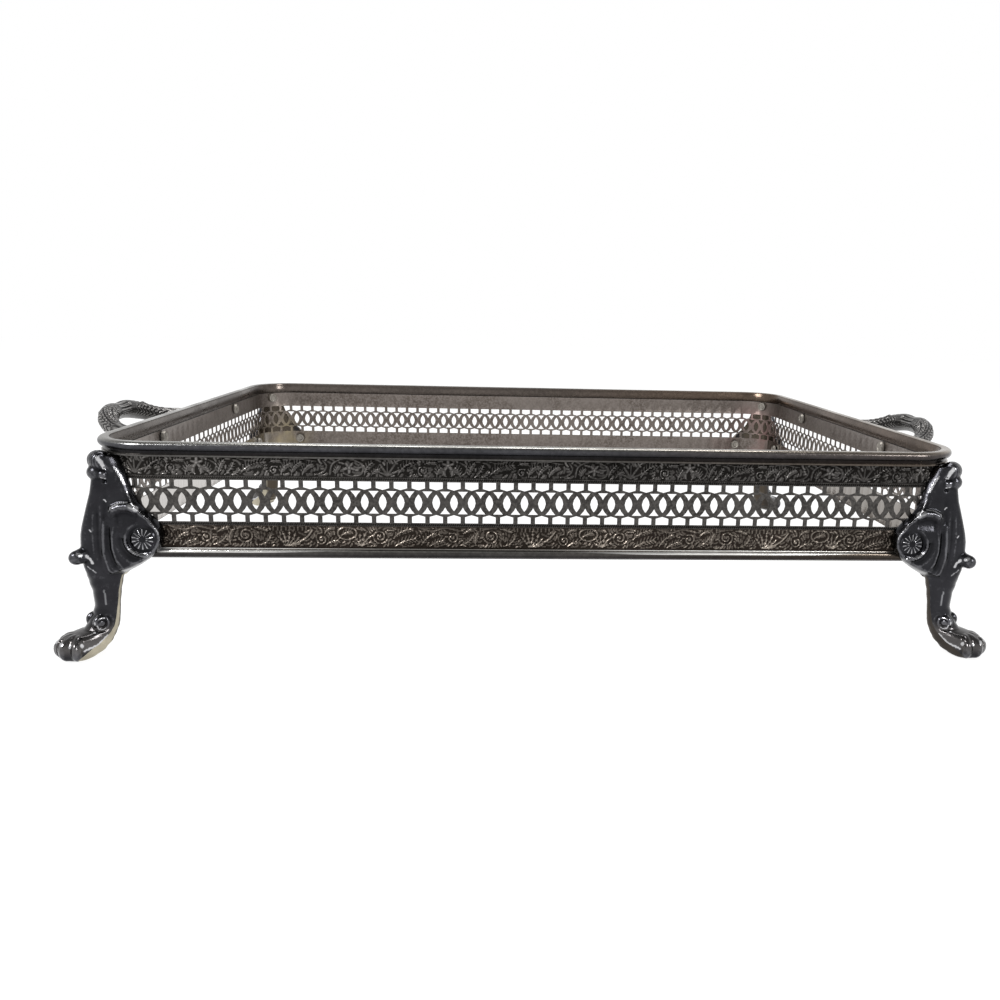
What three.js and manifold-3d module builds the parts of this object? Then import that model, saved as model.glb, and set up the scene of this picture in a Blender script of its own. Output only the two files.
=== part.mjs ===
// Footed gallery holder for a rectangular baking dish: an open, pierced, silver-plated frame on four cast
// corner feet, with a rolled rim, a half-round base moulding and two cast handles riveted to the short ends.
// Millimetres, +Z up, origin on the table under the middle of the frame, long side along X.

import * as THREE from 'three';
import { mergeVertices } from 'three/addons/utils/BufferGeometryUtils.js';
import Module from 'manifold-3d';

const wasm = await Module();
wasm.setup();

// Frame
const frameLength = 368.5; // over the outside of the end walls
const frameWidth = 270; // over the outside of the long walls
const cornerRadius = 22; // outside of the wall
const sheet = 1; // wall thickness
const groundClearance = 41.5; // table to the bottom edge of the wall
const wallHeight = 43.2;
const clearance = 0.3; // left between pieces that seat on each other
const cornerSteps = 5;

// Rim and base moulding
const rimHeight = 6;
const rimOverhang = 4.5; // all the rim's widths are from the wall's outer face
const rimFlat = 2.6; // level stretch on top, where a dish's flange rests
const rimSlope = 1.4; // fall from there to the inside of the wall
const rimRoll = 1.9; // radius of the rolled outer edge
const rimHollow = 2.6; // how far out the hollow under the roll lies
const rimSkirt = 3.2; // the same for the narrow edge at the bottom
const skirtHeight = 0.7;
const rollSteps = 4;
const mouldingHeight = 4.3;
const mouldingDepth = 2;
const mouldingFillet = 0.5; // flat edge above and below the half-round
const mouldingSteps = 4;

// Piercing: a chain of interlaced circles between two rows of slots
const pitch = 7.5; // from circle to circle
const bandCentre = 24.5; // bottom edge of the wall to the middle of the circles
const lensWidth = 3.4; // opening where two circles overlap
const lensHeight = 7.2;
const lensUpright = 3.2; // straight stretch in the middle of its sides
const slotWidth = 5.5;
const slotInner = 5.8; // both from the middle of the circles
const slotOuter = 8.9;

// Cast feet: distances out are from the corner of the wall
const pawHeel = 9.2;
const pawToe = 29.6;
const pawWidth = 7.8;
const toeGroove = 1.3; // how deep the furrows between the toes are
const ankleBack = 3.2;
const ankleFront = 12.4;
const ankleWidth = 6;
const hipReach = 16.2;
const spurReach = 21.5;
const spurRise = 2.4; // bottom edge of the wall to the middle of the spur's tip
const spurRadius = 2.9;
const finialReach = 10.4;
const finialHeight = 2.3; // above the top of the wall
const finialRadius = 4.4;
const eyeReach = 6.6; // bead at each side of the finial's neck
const eyeAlong = 4.6;
const eyeDrop = 7.6; // below the top of the wall
const eyeRadius = 1.9;
const shieldWidth = 21.2; // half of it, round the corner
const shieldEdge = 1.8; // thickness of the casting along the shield's edge
const shieldDepth = 5; // from the flat wall to the shield's face before it
const rosetteRadius = 7.2;
const rosetteInset = 19.4; // end wall's outer face to the rosette's middle
const rosetteRise = 9.3; // bottom edge of the wall to the rosette's middle
const rosetteDepth = 5.6;
const rosetteTop = 6.4; // radius of its face
const rosetteSides = 10;

// Cast handles
const handleSpan = 120; // from root to root
const handleReach = 45; // from the wall to the middle of the bar
const handleRise = 6.4; // from the root to the middle of the bar
const barRadius = 5.2;
const rootRadius = 3;
const barSwelling = 0.6; // more of it keeps the bar slender for longer
const padRadius = 4.6;
const padTop = 3.9; // radius of the pad's face
const padDepth = 1.6;
const handleSteps = 14;
const handleSides = 8;

// Rivet heads on the inside of the wall
const rivetRadius = 3;
const rivetHeight = 1.2;
const rivetShoulder = 2.4; // radius where the dome starts
const shoulderHeight = 0.9;
const rivetSides = 8;
const highRivetDrop = 3.6; // below the top of the wall
const lowRivetMargin = 1.9; // inside the shield's edge
const lowRivetRise = 10.5; // bottom edge of the wall to the rivet

// Places that follow from the sizes above
const wallTop = groundClearance + wallHeight;
const rimBottom = wallTop + clearance;
const rimTop = rimBottom + rimHeight;
const mouldingTop = groundClearance + mouldingHeight;
const longStraight = frameLength - 2 * cornerRadius;
const shortStraight = frameWidth - 2 * cornerRadius;
const lowRivetInset = cornerRadius * (1 - Math.PI / 4) + shieldWidth - lowRivetMargin;
const QUARTER = Math.PI / 2;

const corners = [
  { name: 'back_right', sx: 1, sy: 1, turn: QUARTER / 2 },
  { name: 'back_left', sx: -1, sy: 1, turn: QUARTER * 1.5 },
  { name: 'front_left', sx: -1, sy: -1, turn: QUARTER * 2.5 },
  { name: 'front_right', sx: 1, sy: -1, turn: QUARTER * 3.5 },
];

const finish = {
  wall: { color: 0x5d5854, roughness: 0.42 },
  rim: { color: 0x8c8984, roughness: 0.22 },
  moulding: { color: 0x77736e, roughness: 0.25 },
  foot: { color: 0x47474b, roughness: 0.26 },
  handle: { color: 0x5a5755, roughness: 0.34 },
  rivet: { color: 0x8f877d, roughness: 0.4 },
};

const holder = new THREE.Group();

function add(name, geometry, finishOf) {
  const material = new THREE.MeshStandardMaterial({ ...finish[finishOf], metalness: 1, flatShading: true });
  const mesh = new THREE.Mesh(geometry, material);
  mesh.name = name;
  holder.add(mesh);
  return mesh;
}

// A closed mesh from points and triangles, turned so that its faces point out
function closedMesh(points, triangles) {
  let volume = 0;
  for (const [a, b, c] of triangles) volume += points[a].dot(points[b].clone().cross(points[c]));
  const geometry = new THREE.BufferGeometry().setFromPoints(points);
  geometry.setIndex(triangles.flatMap(([a, b, c]) => (volume > 0 ? [a, b, c] : [a, c, b])));
  return geometry;
}

// Two triangles for each quad of a grid of points; the rows close on themselves, and the whole may too
function gridFaces(rows, columns, closed) {
  const triangles = [];
  for (let row = 0; row < (closed ? rows : rows - 1); row += 1) {
    const next = (row + 1) % rows;
    for (let column = 0; column < columns; column += 1) {
      const side = (column + 1) % columns;
      const [a, b] = [row * columns + column, row * columns + side];
      const [c, d] = [next * columns + side, next * columns + column];
      triangles.push([a, b, c], [a, c, d]);
    }
  }
  return triangles;
}

function newellNormal(ring) {
  const normal = new THREE.Vector3();
  ring.forEach((point, i) => normal.add(point.clone().cross(ring[(i + 1) % ring.length])));
  return normal.normalize();
}

function capFaces(ring, offset, flip) {
  const normal = newellNormal(ring);
  const across = ring[1].clone().sub(ring[0]).normalize();
  const up = normal.clone().cross(across);
  const outline = ring.map((point) => {
    const arm = point.clone().sub(ring[0]);
    return new THREE.Vector2(arm.dot(across), arm.dot(up));
  });
  return THREE.ShapeUtils.triangulateShape(outline, []).map(([a, b, c]) => {
    const turned = outline[b].clone().sub(outline[a]).cross(outline[c].clone().sub(outline[a])) > 0;
    const [first, second] = turned === flip ? [c, b] : [b, c];
    return [a + offset, first + offset, second + offset];
  });
}

// A body that runs through a row of rings with the same number of points, closed by a flat cap at each end
function loft(rings) {
  const columns = rings[0].length;
  const last = rings.length - 1;
  return closedMesh(rings.flat(), [
    ...gridFaces(rings.length, columns, false),
    ...capFaces(rings[0], 0, true),
    ...capFaces(rings[last], last * columns, false),
  ]);
}

function toSolid(geometry) {
  const bare = geometry.clone();
  bare.deleteAttribute('normal');
  bare.deleteAttribute('uv');
  const merged = mergeVertices(bare, 1e-4);
  return new wasm.Manifold(new wasm.Mesh({
    numProp: 3,
    vertProperties: new Float32Array(merged.attributes.position.array),
    triVerts: new Uint32Array(merged.index.array),
  }));
}

function fromSolid(solid) {
  const mesh = solid.getMesh();
  const geometry = new THREE.BufferGeometry();
  geometry.setAttribute('position', new THREE.BufferAttribute(mesh.vertProperties, 3));
  return geometry.setIndex(new THREE.BufferAttribute(mesh.triVerts, 1));
}

function fuse(geometries) {
  const [first, ...others] = geometries.map(toSolid);
  return fromSolid(others.reduce((body, other) => body.add(other), first));
}

function cut(body, tool) {
  return fromSolid(toSolid(body).subtract(toSolid(tool)));
}

function cornerCentre({ sx, sy }) {
  return new THREE.Vector3(sx * longStraight / 2, sy * shortStraight / 2, 0);
}

// Points on half a circle that bulges outwards, from its top to its foot, as [out, height]
function halfRound(out, height, depth, halfHeight, steps) {
  return Array.from({ length: steps + 1 }, (_, step) => {
    const angle = Math.PI * (0.5 - step / steps);
    return [out + depth * Math.cos(angle), height + halfHeight * Math.sin(angle)];
  });
}

// A moulding carried round the whole frame: section points are [out from the wall's outer face, height]
function moulding(section) {
  const points = [];
  for (const corner of corners) {
    for (let step = 0; step <= cornerSteps; step += 1) {
      const angle = corner.turn + (step / cornerSteps - 0.5) * QUARTER;
      for (const [out, height] of section) {
        const reach = cornerRadius + out;
        const place = new THREE.Vector3(reach * Math.cos(angle), reach * Math.sin(angle), height);
        points.push(place.add(cornerCentre(corner)));
      }
    }
  }
  return closedMesh(points, gridFaces(corners.length * (cornerSteps + 1), section.length, true));
}

function rimSection() {
  const rollMiddle = rimOverhang - rimRoll;
  return [
    [-sheet, rimBottom],
    [-sheet, rimTop - rimSlope],
    [rollMiddle - rimFlat, rimTop],
    ...halfRound(rollMiddle, rimTop - rimRoll, rimRoll, rimRoll, rollSteps),
    [rimHollow, (rimTop - 2 * rimRoll + rimBottom + skirtHeight) / 2],
    [rimSkirt, rimBottom + skirtHeight],
    [rimSkirt, rimBottom],
  ];
}

function baseSection() {
  const middle = groundClearance + mouldingHeight / 2;
  const bulge = mouldingDepth - mouldingFillet;
  return [
    [clearance, groundClearance],
    [clearance, mouldingTop],
    ...halfRound(clearance + mouldingFillet, middle, bulge, mouldingHeight / 2, mouldingSteps),
  ];
}

// One straight side of the gallery, standing on the X axis with its outer face towards -Y
function galleryPanel(length) {
  const plate = new THREE.BoxGeometry(length, wallHeight, sheet).translate(0, wallHeight / 2, sheet / 2);
  const openings = [];
  const pierce = (middle, outline) => openings.push(
    new THREE.Shape(outline.map(([x, y]) => new THREE.Vector2(middle + x, bandCentre + y))),
  );
  const [side, tip, bulge] = [lensWidth / 2, lensHeight / 2, lensUpright / 2];
  const lens = [[-side, -bulge], [0, -tip], [side, -bulge], [side, bulge], [0, tip], [-side, bulge]];
  const edge = slotWidth / 2;
  const lowSlot = [[-edge, -slotOuter], [edge, -slotOuter], [edge, -slotInner], [-edge, -slotInner]];
  const highSlot = [[-edge, slotInner], [edge, slotInner], [edge, slotOuter], [-edge, slotOuter]];
  const count = Math.floor(length / pitch);
  for (let cell = 0; cell < count; cell += 1) {
    for (const outline of [lens, lowSlot, highSlot]) pierce((cell - (count - 1) / 2) * pitch, outline);
  }
  const punch = new THREE.ExtrudeGeometry(openings, { depth: 3 * sheet, bevelEnabled: false });
  punch.translate(0, 0, -sheet);
  return cut(plate, punch).rotateX(QUARTER).translate(0, sheet, 0);
}

function addGallery() {
  const sides = [
    { name: 'gallery_front', length: longStraight, away: frameWidth / 2, turn: 0 },
    { name: 'gallery_right', length: shortStraight, away: frameLength / 2, turn: QUARTER },
    { name: 'gallery_back', length: longStraight, away: frameWidth / 2, turn: 2 * QUARTER },
    { name: 'gallery_left', length: shortStraight, away: frameLength / 2, turn: 3 * QUARTER },
  ];
  for (const { name, length, away, turn } of sides) {
    const panel = add(name, galleryPanel(length - clearance), 'wall');
    panel.position.set(away * Math.sin(turn), -away * Math.cos(turn), groundClearance);
    panel.rotation.z = turn;
  }
}

function cornerPlate() {
  const arc = (radius, from) => Array.from({ length: cornerSteps + 1 }, (_, step) => {
    const angle = from * (1 - 2 * step / cornerSteps) * QUARTER / 2;
    return new THREE.Vector2(radius * Math.cos(angle), radius * Math.sin(angle));
  });
  const plan = new THREE.Shape([...arc(cornerRadius, -1), ...arc(cornerRadius - sheet, 1)]);
  return new THREE.ExtrudeGeometry(plan, { depth: wallHeight, bevelEnabled: false });
}

function addCornerPlates() {
  for (const corner of corners) {
    const plate = add(`corner_plate_${corner.name}`, cornerPlate(), 'wall');
    plate.position.copy(cornerCentre(corner)).setZ(groundClearance);
    plate.rotation.z = corner.turn;
  }
}

// A point beside the corner: along runs round the wall from the corner's diagonal, out leads away from it
function cornerPoint(along, out, height) {
  const limit = cornerRadius * QUARTER / 2;
  const bent = THREE.MathUtils.clamp(along, -limit, limit);
  const angle = bent / cornerRadius;
  const straight = along - bent;
  const reach = cornerRadius + out;
  return new THREE.Vector3(
    reach * Math.cos(angle) - straight * Math.sin(angle),
    reach * Math.sin(angle) + straight * Math.cos(angle),
    height,
  );
}

// One level slice of a foot: seven points round its front, placed by how far out it lies at each share of
// its half width, and three along its back
function footSlice({ height, half, frontOut, backEdge, back }) {
  const front = [-1, -0.8, -0.4, 0, 0.4, 0.8, 1].map((u) => cornerPoint(u * half, frontOut(u), height));
  const behind = [[1, backEdge], [0, back], [-1, backEdge]];
  return [...front, ...behind.map(([u, out]) => cornerPoint(u * half, out, height))];
}

// The leg's slices: height as a share of the ground clearance, then how far out its back and its front lie,
// half its width, and how deep the furrows at both sides of its middle are
function legSlice(share, back, front, width, groove = 0) {
  const edge = back + (front - back) * 0.57;
  return footSlice({
    height: share * groundClearance,
    half: width * cornerRadius / (cornerRadius + (back + front) / 2),
    frontOut: (u) => {
      const swell = Math.sqrt(Math.max(Math.cos(u * QUARTER), 0));
      return edge + (front - edge) * swell - (Math.abs(u) === 0.4 ? groove : 0);
    },
    backEdge: back + (front - back) * 0.25,
    back,
  });
}

function legSlices() {
  return [
    legSlice(0, pawHeel * 1.6, pawToe * 0.88, pawWidth * 0.7, toeGroove),
    legSlice(0.05, pawHeel * 1.35, pawToe * 0.98, pawWidth, toeGroove),
    legSlice(0.14, pawHeel, pawToe, pawWidth, toeGroove),
    legSlice(0.25, ankleBack * 1.9, pawToe * 0.87, pawWidth * 0.88, toeGroove / 2),
    legSlice(0.33, ankleBack * 1.25, ankleFront * 1.3, ankleWidth),
    legSlice(0.46, ankleBack, ankleFront, ankleWidth),
    legSlice(0.66, ankleBack * 0.9, ankleFront * 0.97, ankleWidth),
    legSlice(0.82, ankleBack * 0.6, ankleFront * 1.08, ankleWidth * 1.3),
    legSlice(0.91, ankleBack * 0.3, ankleFront * 1.2, ankleWidth * 1.8),
  ];
}

// The shield's slices: height as a share of the wall's, half its width round the corner, how deep its two
// faces stand before the flat walls beside the corner, and how far out the spine between them is. It is drawn
// through the wall and then cut back to its seat
function shieldSlice(share, half, depth, spine) {
  const edge = clearance + shieldEdge;
  return footSlice({
    height: groundClearance + share * wallHeight,
    half,
    frontOut: (u) => {
      const turn = QUARTER / 2 - Math.min(Math.abs(u) * half / cornerRadius, QUARTER / 2);
      const face = (cornerRadius + depth) / Math.cos(turn) - cornerRadius;
      return Math.abs(u) === 1 ? edge : Math.max(Math.min(face, spine), edge);
    },
    backEdge: 0,
    back: 0,
  });
}

function shieldSlices() {
  return [
    shieldSlice(0, shieldWidth * 0.8, shieldDepth * 0.96, hipReach * 0.95),
    shieldSlice(0.1, shieldWidth * 0.92, shieldDepth, hipReach),
    shieldSlice(0.23, shieldWidth, shieldDepth, hipReach),
    shieldSlice(0.36, shieldWidth * 0.92, shieldDepth * 0.85, hipReach * 0.94),
    shieldSlice(0.48, shieldWidth * 0.7, shieldDepth * 0.65, hipReach * 0.84),
    shieldSlice(0.6, shieldWidth * 0.54, shieldDepth * 0.5, finialReach * 1.14),
    shieldSlice(0.74, shieldWidth * 0.42, shieldDepth * 0.35, finialReach * 0.95),
    shieldSlice(0.88, finialRadius * 1.3, shieldDepth * 0.5, finialReach * 1.02),
    shieldSlice(0.98, finialRadius, shieldDepth * 0.5, finialReach * 0.94),
    shieldSlice(1 + finialHeight / wallHeight, finialRadius * 0.6, shieldDepth * 0.3, finialReach * 0.84),
  ];
}

// What the shield has to clear: the wall, the base moulding below and the rim above, round one corner
function shieldSeat() {
  const bend = cornerRadius * QUARTER / 2;
  const turns = Array.from({ length: cornerSteps + 1 }, (_, step) => bend * (2 * step / cornerSteps - 1));
  const inside = -cornerRadius / 2;
  const section = [
    [inside, groundClearance - clearance],
    [mouldingDepth + 2 * clearance, groundClearance - clearance],
    [mouldingDepth + 2 * clearance, mouldingTop + clearance],
    [clearance, mouldingTop + clearance],
    [clearance, rimBottom - clearance],
    [rimOverhang + clearance, rimBottom - clearance],
    [rimOverhang + clearance, rimTop],
    [inside, rimTop],
  ];
  return loft([-2 * bend, ...turns, 2 * bend].map((along) => (
    section.map(([out, height]) => cornerPoint(along, out, height))
  )));
}

// A round boss on the shield, parallel to the flat wall beside it
function rosette(side) {
  const boss = new THREE.CylinderGeometry(rosetteTop, rosetteRadius, rosetteDepth, rosetteSides);
  return boss.rotateZ(-QUARTER)
    .translate(cornerRadius + clearance + rosetteDepth / 2, 0, groundClearance + rosetteRise)
    .translate(0, -side * (cornerRadius - rosetteInset), 0)
    .rotateZ(side * QUARTER / 2);
}

// The knob that stands out from the leg just below the shield
function spur() {
  const profile = [[0, 0], [1.1, 0], [0.9, 0.75], [0, 1]];
  const length = spurReach - hipReach / 2;
  return new THREE.LatheGeometry(profile.map(([x, y]) => new THREE.Vector2(x * spurRadius, y * length)), 6)
    .rotateZ(-QUARTER)
    .translate(cornerRadius + hipReach / 2, 0, groundClearance + spurRise);
}

// Beads at both sides of the finial: the eyes of its scroll
function scrollEyes() {
  return [-1, 1].map((side) => (
    new THREE.IcosahedronGeometry(eyeRadius, 0)
      .translate(cornerRadius + eyeReach, side * eyeAlong, wallTop - eyeDrop)
  ));
}

function addFeet() {
  const body = loft([...legSlices(), ...shieldSlices()]);
  const parts = [body, rosette(-1), rosette(1), spur(), ...scrollEyes()];
  const shape = cut(fuse(parts), shieldSeat());
  for (const corner of corners) {
    const foot = add(`foot_${corner.name}`, shape, 'foot');
    foot.position.copy(cornerCentre(corner));
    foot.rotation.z = corner.turn;
  }
}

// A bowed bar that swells from its roots to a leafy middle, with a round pad against the wall at each root
function handle() {
  const halfSpan = handleSpan / 2;
  const route = [[0, 1, 0], [0.1, 0.98, 0], [0.4, 0.77, -0.1], [0.74, 0.54, 0.1], [0.92, 0.36, 0.62],
    [0.99, 0.17, 0.98]];
  const mirrored = route.map(([out, along, rise]) => [out, -along, rise]).reverse();
  const curve = new THREE.CatmullRomCurve3([...route, [1, 0, 1], ...mirrored].map(([out, along, rise]) => (
    new THREE.Vector3(padDepth + out * (handleReach - padDepth), along * halfSpan, rise * handleRise)
  )));
  const { normals, binormals } = curve.computeFrenetFrames(handleSteps, false);
  const rings = normals.map((normal, step) => {
    const share = step / handleSteps;
    const radius = rootRadius + (barRadius - rootRadius) * Math.sin(Math.PI * share) ** barSwelling;
    const middle = curve.getPointAt(share);
    return Array.from({ length: handleSides }, (_, side) => {
      const angle = (side + 0.5) / handleSides * 4 * QUARTER;
      return middle.clone()
        .addScaledVector(normal, radius * Math.cos(angle))
        .addScaledVector(binormals[step], radius * Math.sin(angle));
    });
  });
  const pads = [-halfSpan, halfSpan].map((along) => {
    const pad = new THREE.CylinderGeometry(padTop, padRadius, padDepth + clearance, handleSides);
    return pad.rotateZ(-QUARTER).translate(clearance + (padDepth + clearance) / 2, along, 0);
  });
  return fuse([loft(rings), ...pads]);
}

function addHandles() {
  for (const [name, turn] of [['handle_right', 0], ['handle_left', 2 * QUARTER]]) {
    const bar = add(name, handle(), 'handle');
    bar.position.set(Math.cos(turn) * frameLength / 2, 0, wallTop - clearance - padRadius);
    bar.rotation.z = turn;
  }
}

// A domed head that stands on the XY plane
function rivetHead() {
  const profile = [[0, 0], [rivetRadius, 0], [rivetShoulder, shoulderHeight], [0, rivetHeight]];
  return new THREE.LatheGeometry(profile.map(([x, y]) => new THREE.Vector2(x, y)), rivetSides)
    .rotateX(QUARTER);
}

// Sets a head on the inside of the wall; facing is the angle that the head looks towards, seen from above
function addRivet(name, x, y, z, facing) {
  const head = add(name, rivetHead(), 'rivet');
  head.position.set(x, y, z);
  head.rotation.set(0, QUARTER, 0);
  head.rotation.order = 'ZYX';
  head.rotation.z = facing;
}

function addFootRivets() {
  const inside = sheet + clearance;
  const curveRise = rivetRadius ** 2 / 2 / (cornerRadius - sheet);
  const lowHeight = groundClearance + lowRivetRise;
  for (const corner of corners) {
    const { name, sx, sy, turn } = corner;
    const reach = cornerRadius - inside - curveRise;
    const high = cornerCentre(corner).add(new THREE.Vector3(Math.cos(turn), Math.sin(turn), 0)
      .multiplyScalar(reach));
    addRivet(`foot_rivet_${name}_corner`, high.x, high.y, wallTop - highRivetDrop, turn + Math.PI);
    addRivet(`foot_rivet_${name}_long_side`, sx * (frameLength / 2 - lowRivetInset),
      sy * (frameWidth / 2 - inside), lowHeight, -sy * QUARTER);
    addRivet(`foot_rivet_${name}_end`, sx * (frameLength / 2 - inside),
      sy * (frameWidth / 2 - lowRivetInset), lowHeight, sx > 0 ? Math.PI : 0);
  }
}

function addHandleRivets() {
  for (const [side, sx] of [['left', -1], ['right', 1]]) {
    for (const [end, sy] of [['front', -1], ['back', 1]]) {
      addRivet(`handle_rivet_${side}_${end}`, sx * (frameLength / 2 - sheet - clearance),
        sy * handleSpan / 2, wallTop - highRivetDrop, sx > 0 ? Math.PI : 0);
    }
  }
}

addGallery();
addCornerPlates();
add('top_rim', moulding(rimSection()), 'rim');
add('base_moulding', moulding(baseSection()), 'moulding');
addFeet();
addHandles();
addFootRivets();
addHandleRivets();

export default holder;
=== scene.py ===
"""Looks of a footed gallery holder: pierced and chased wall, rolled rim, cast paw feet and leafy handles."""

import math
import random

import bmesh
import bpy
from mathutils import Matrix, Vector, kdtree


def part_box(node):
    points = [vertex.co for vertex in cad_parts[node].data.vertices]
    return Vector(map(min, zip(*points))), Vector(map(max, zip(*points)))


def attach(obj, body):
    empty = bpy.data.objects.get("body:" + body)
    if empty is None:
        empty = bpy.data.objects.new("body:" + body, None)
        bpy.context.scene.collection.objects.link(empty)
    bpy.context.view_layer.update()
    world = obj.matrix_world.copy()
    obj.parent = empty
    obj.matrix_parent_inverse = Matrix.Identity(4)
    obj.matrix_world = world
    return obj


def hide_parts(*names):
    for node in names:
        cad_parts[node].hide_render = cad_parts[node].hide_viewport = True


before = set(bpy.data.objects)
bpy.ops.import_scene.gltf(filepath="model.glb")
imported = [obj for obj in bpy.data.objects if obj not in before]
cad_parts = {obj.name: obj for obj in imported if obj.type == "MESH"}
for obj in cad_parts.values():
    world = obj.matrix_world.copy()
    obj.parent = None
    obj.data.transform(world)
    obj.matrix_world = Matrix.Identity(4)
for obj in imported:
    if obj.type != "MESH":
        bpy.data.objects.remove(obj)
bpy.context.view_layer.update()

# The pieces are worked out in millimetres; a finished mesh is scaled to metres
MM = 0.001
QUARTER = math.pi / 2


def box_mm(node):
    """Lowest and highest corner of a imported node, in millimetres."""
    low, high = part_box(node)
    return Vector(low) / MM, Vector(high) / MM


front_low, front_high = box_mm("gallery_front")
right_high = box_mm("gallery_right")[1]
plate_low, plate_high = box_mm("corner_plate_back_right")
rim_low, rim_high = box_mm("top_rim")
moulding_low, moulding_high = box_mm("base_moulding")
handle_low, handle_high = box_mm("handle_right")

# The wall
WALL_BOTTOM, WALL_TOP = front_low.z, front_high.z
HALF_LENGTH, HALF_WIDTH = right_high.x, -front_low.y
SHEET = front_high.y - front_low.y
CORNER_RADIUS = plate_high.x - plate_low.x
CORNERS = {
    "back_right": (1, 1, QUARTER / 2),
    "back_left": (-1, 1, QUARTER * 1.5),
    "front_left": (-1, -1, QUARTER * 2.5),
    "front_right": (1, -1, QUARTER * 3.5),
}
STRAIGHTS = [2 * (HALF_LENGTH - CORNER_RADIUS), 2 * (HALF_WIDTH - CORNER_RADIUS)] * 2
CORNER_ARC = CORNER_RADIUS * QUARTER
PERIMETER = sum(STRAIGHTS) + 4 * CORNER_ARC


def wall_place(along, out, height):
    """A point by its way round the wall from the front's middle, its distance from the face, its height."""
    rest = (along + STRAIGHTS[0] / 2) % PERIMETER
    start = Vector((-STRAIGHTS[0] / 2, -HALF_WIDTH, 0))
    for quarter, straight in enumerate(STRAIGHTS):
        turn = quarter * QUARTER
        ahead = Vector((math.cos(turn), math.sin(turn), 0))
        away = Vector((ahead.y, -ahead.x, 0))
        if rest <= straight:
            return start + ahead * rest + away * out + Vector((0, 0, height))
        rest -= straight
        centre = start + ahead * straight - away * CORNER_RADIUS
        if rest <= CORNER_ARC or quarter == 3:
            angle = rest / CORNER_RADIUS
            outward = away * math.cos(angle) + ahead * math.sin(angle)
            return centre + outward * (CORNER_RADIUS + out) + Vector((0, 0, height))
        rest -= CORNER_ARC
        start = centre + ahead * CORNER_RADIUS


def corner_place(along, out, height):
    """The same beside a corner, in the corner's own frame: X leads out along its diagonal."""
    bent = max(-CORNER_ARC / 2, min(CORNER_ARC / 2, along))
    angle = bent / CORNER_RADIUS
    straight, reach = along - bent, CORNER_RADIUS + out
    return Vector((reach * math.cos(angle) - straight * math.sin(angle),
                   reach * math.sin(angle) + straight * math.cos(angle), height))


def bend_round_frame(bm):
    """Bends a flat strip round the frame: its X runs along the wall, its Y towards the inside."""
    for vert in bm.verts:
        vert.co = wall_place(vert.co.x, -vert.co.y, vert.co.z)
    bmesh.ops.remove_doubles(bm, verts=bm.verts, dist=0.001)


def smoothed(bm, angle=0.6):
    """Smooth faces, with a crease along every edge that turns more than the angle."""
    for face in bm.faces:
        face.smooth = True
    for edge in bm.edges:
        edge.smooth = edge.is_manifold and edge.calc_face_angle(0) < angle


def piece(name, bm, material, replaced=(), recalculate=True):
    """Turns a mesh in millimetres into a finished piece of the model."""
    if recalculate:
        bmesh.ops.recalc_face_normals(bm, faces=bm.faces)
    smoothed(bm)
    bmesh.ops.transform(bm, matrix=Matrix.Scale(MM, 4), verts=bm.verts)
    mesh = bpy.data.meshes.new(name)
    bm.to_mesh(mesh)
    bm.free()
    mesh.materials.append(material)
    made = bpy.data.objects.new(name, mesh)
    bpy.context.scene.collection.objects.link(made)
    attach(made, "root")
    if replaced:
        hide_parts(*replaced)
    return made


def sheet(columns, rows, place):
    """A grid of faces whose points are placed by a function of two shares, both from 0 to 1."""
    bm = bmesh.new()
    bmesh.ops.create_grid(bm, x_segments=columns, y_segments=rows, size=0.5)
    for vert in bm.verts:
        vert.co = place(vert.co.x + 0.5, vert.co.y + 0.5)
    return bm


def close_ends(bm):
    """Merges a sheet's seam and fills the rings that stay open at its ends."""
    bmesh.ops.remove_doubles(bm, verts=bm.verts, dist=0.001)
    bmesh.ops.holes_fill(bm, edges=[edge for edge in bm.edges if edge.is_boundary], sides=0)


def as_mesh(made):
    """The mesh of an object with its modifiers applied; the object is removed."""
    bpy.context.scene.collection.objects.link(made)
    bpy.context.view_layer.update()
    evaluated = made.evaluated_get(bpy.context.evaluated_depsgraph_get())
    mesh = bpy.data.meshes.new_from_object(evaluated)
    bpy.data.objects.remove(made)
    return mesh


def strokes(rows, sides=3):
    """Round strokes through rows of (place, radius), closed at both ends, as one mesh."""
    curve = bpy.data.curves.new("strokes", "CURVE")
    curve.dimensions = "3D"
    curve.bevel_depth, curve.bevel_resolution = 1, sides
    curve.resolution_u, curve.use_fill_caps = 6, True
    for row in rows:
        spline = curve.splines.new("BEZIER")
        spline.bezier_points.add(len(row) - 1)
        for point, (place, radius) in zip(spline.bezier_points, row):
            point.co, point.radius = place, radius
            point.handle_left_type = point.handle_right_type = "AUTO"
    mesh = as_mesh(bpy.data.objects.new("strokes", curve))
    bm = bmesh.new()
    bm.from_mesh(mesh)
    bpy.data.meshes.remove(mesh)
    return bm


def add_copies(whole, material, places):
    """Adds one form as several pieces, each a (name, node, matrix) of its own; the form is freed."""
    form = bpy.data.meshes.new("form")
    whole.to_mesh(form)
    whole.free()
    for name, node_name, place in places:
        bm = bmesh.new()
        bm.from_mesh(form)
        bmesh.ops.transform(bm, matrix=place, verts=bm.verts)
        piece(name, bm, material, [node_name], recalculate=False)
    bpy.data.meshes.remove(form)


def add_mesh(bm, other, matrix=Matrix()):
    """Adds another mesh to this one, through a matrix, and frees it."""
    mesh = bpy.data.meshes.new("part")
    bmesh.ops.transform(other, matrix=matrix, verts=other.verts)
    other.to_mesh(mesh)
    other.free()
    bm.from_mesh(mesh)
    bpy.data.meshes.remove(mesh)


def add_ball(bm, centre, radii, turn=Matrix()):
    """Adds a ball, or an egg with three different radii."""
    matrix = Matrix.Translation(centre) @ turn @ Matrix.Diagonal((*radii, 1))
    bmesh.ops.create_icosphere(bm, subdivisions=3, radius=1, matrix=matrix)


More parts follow.
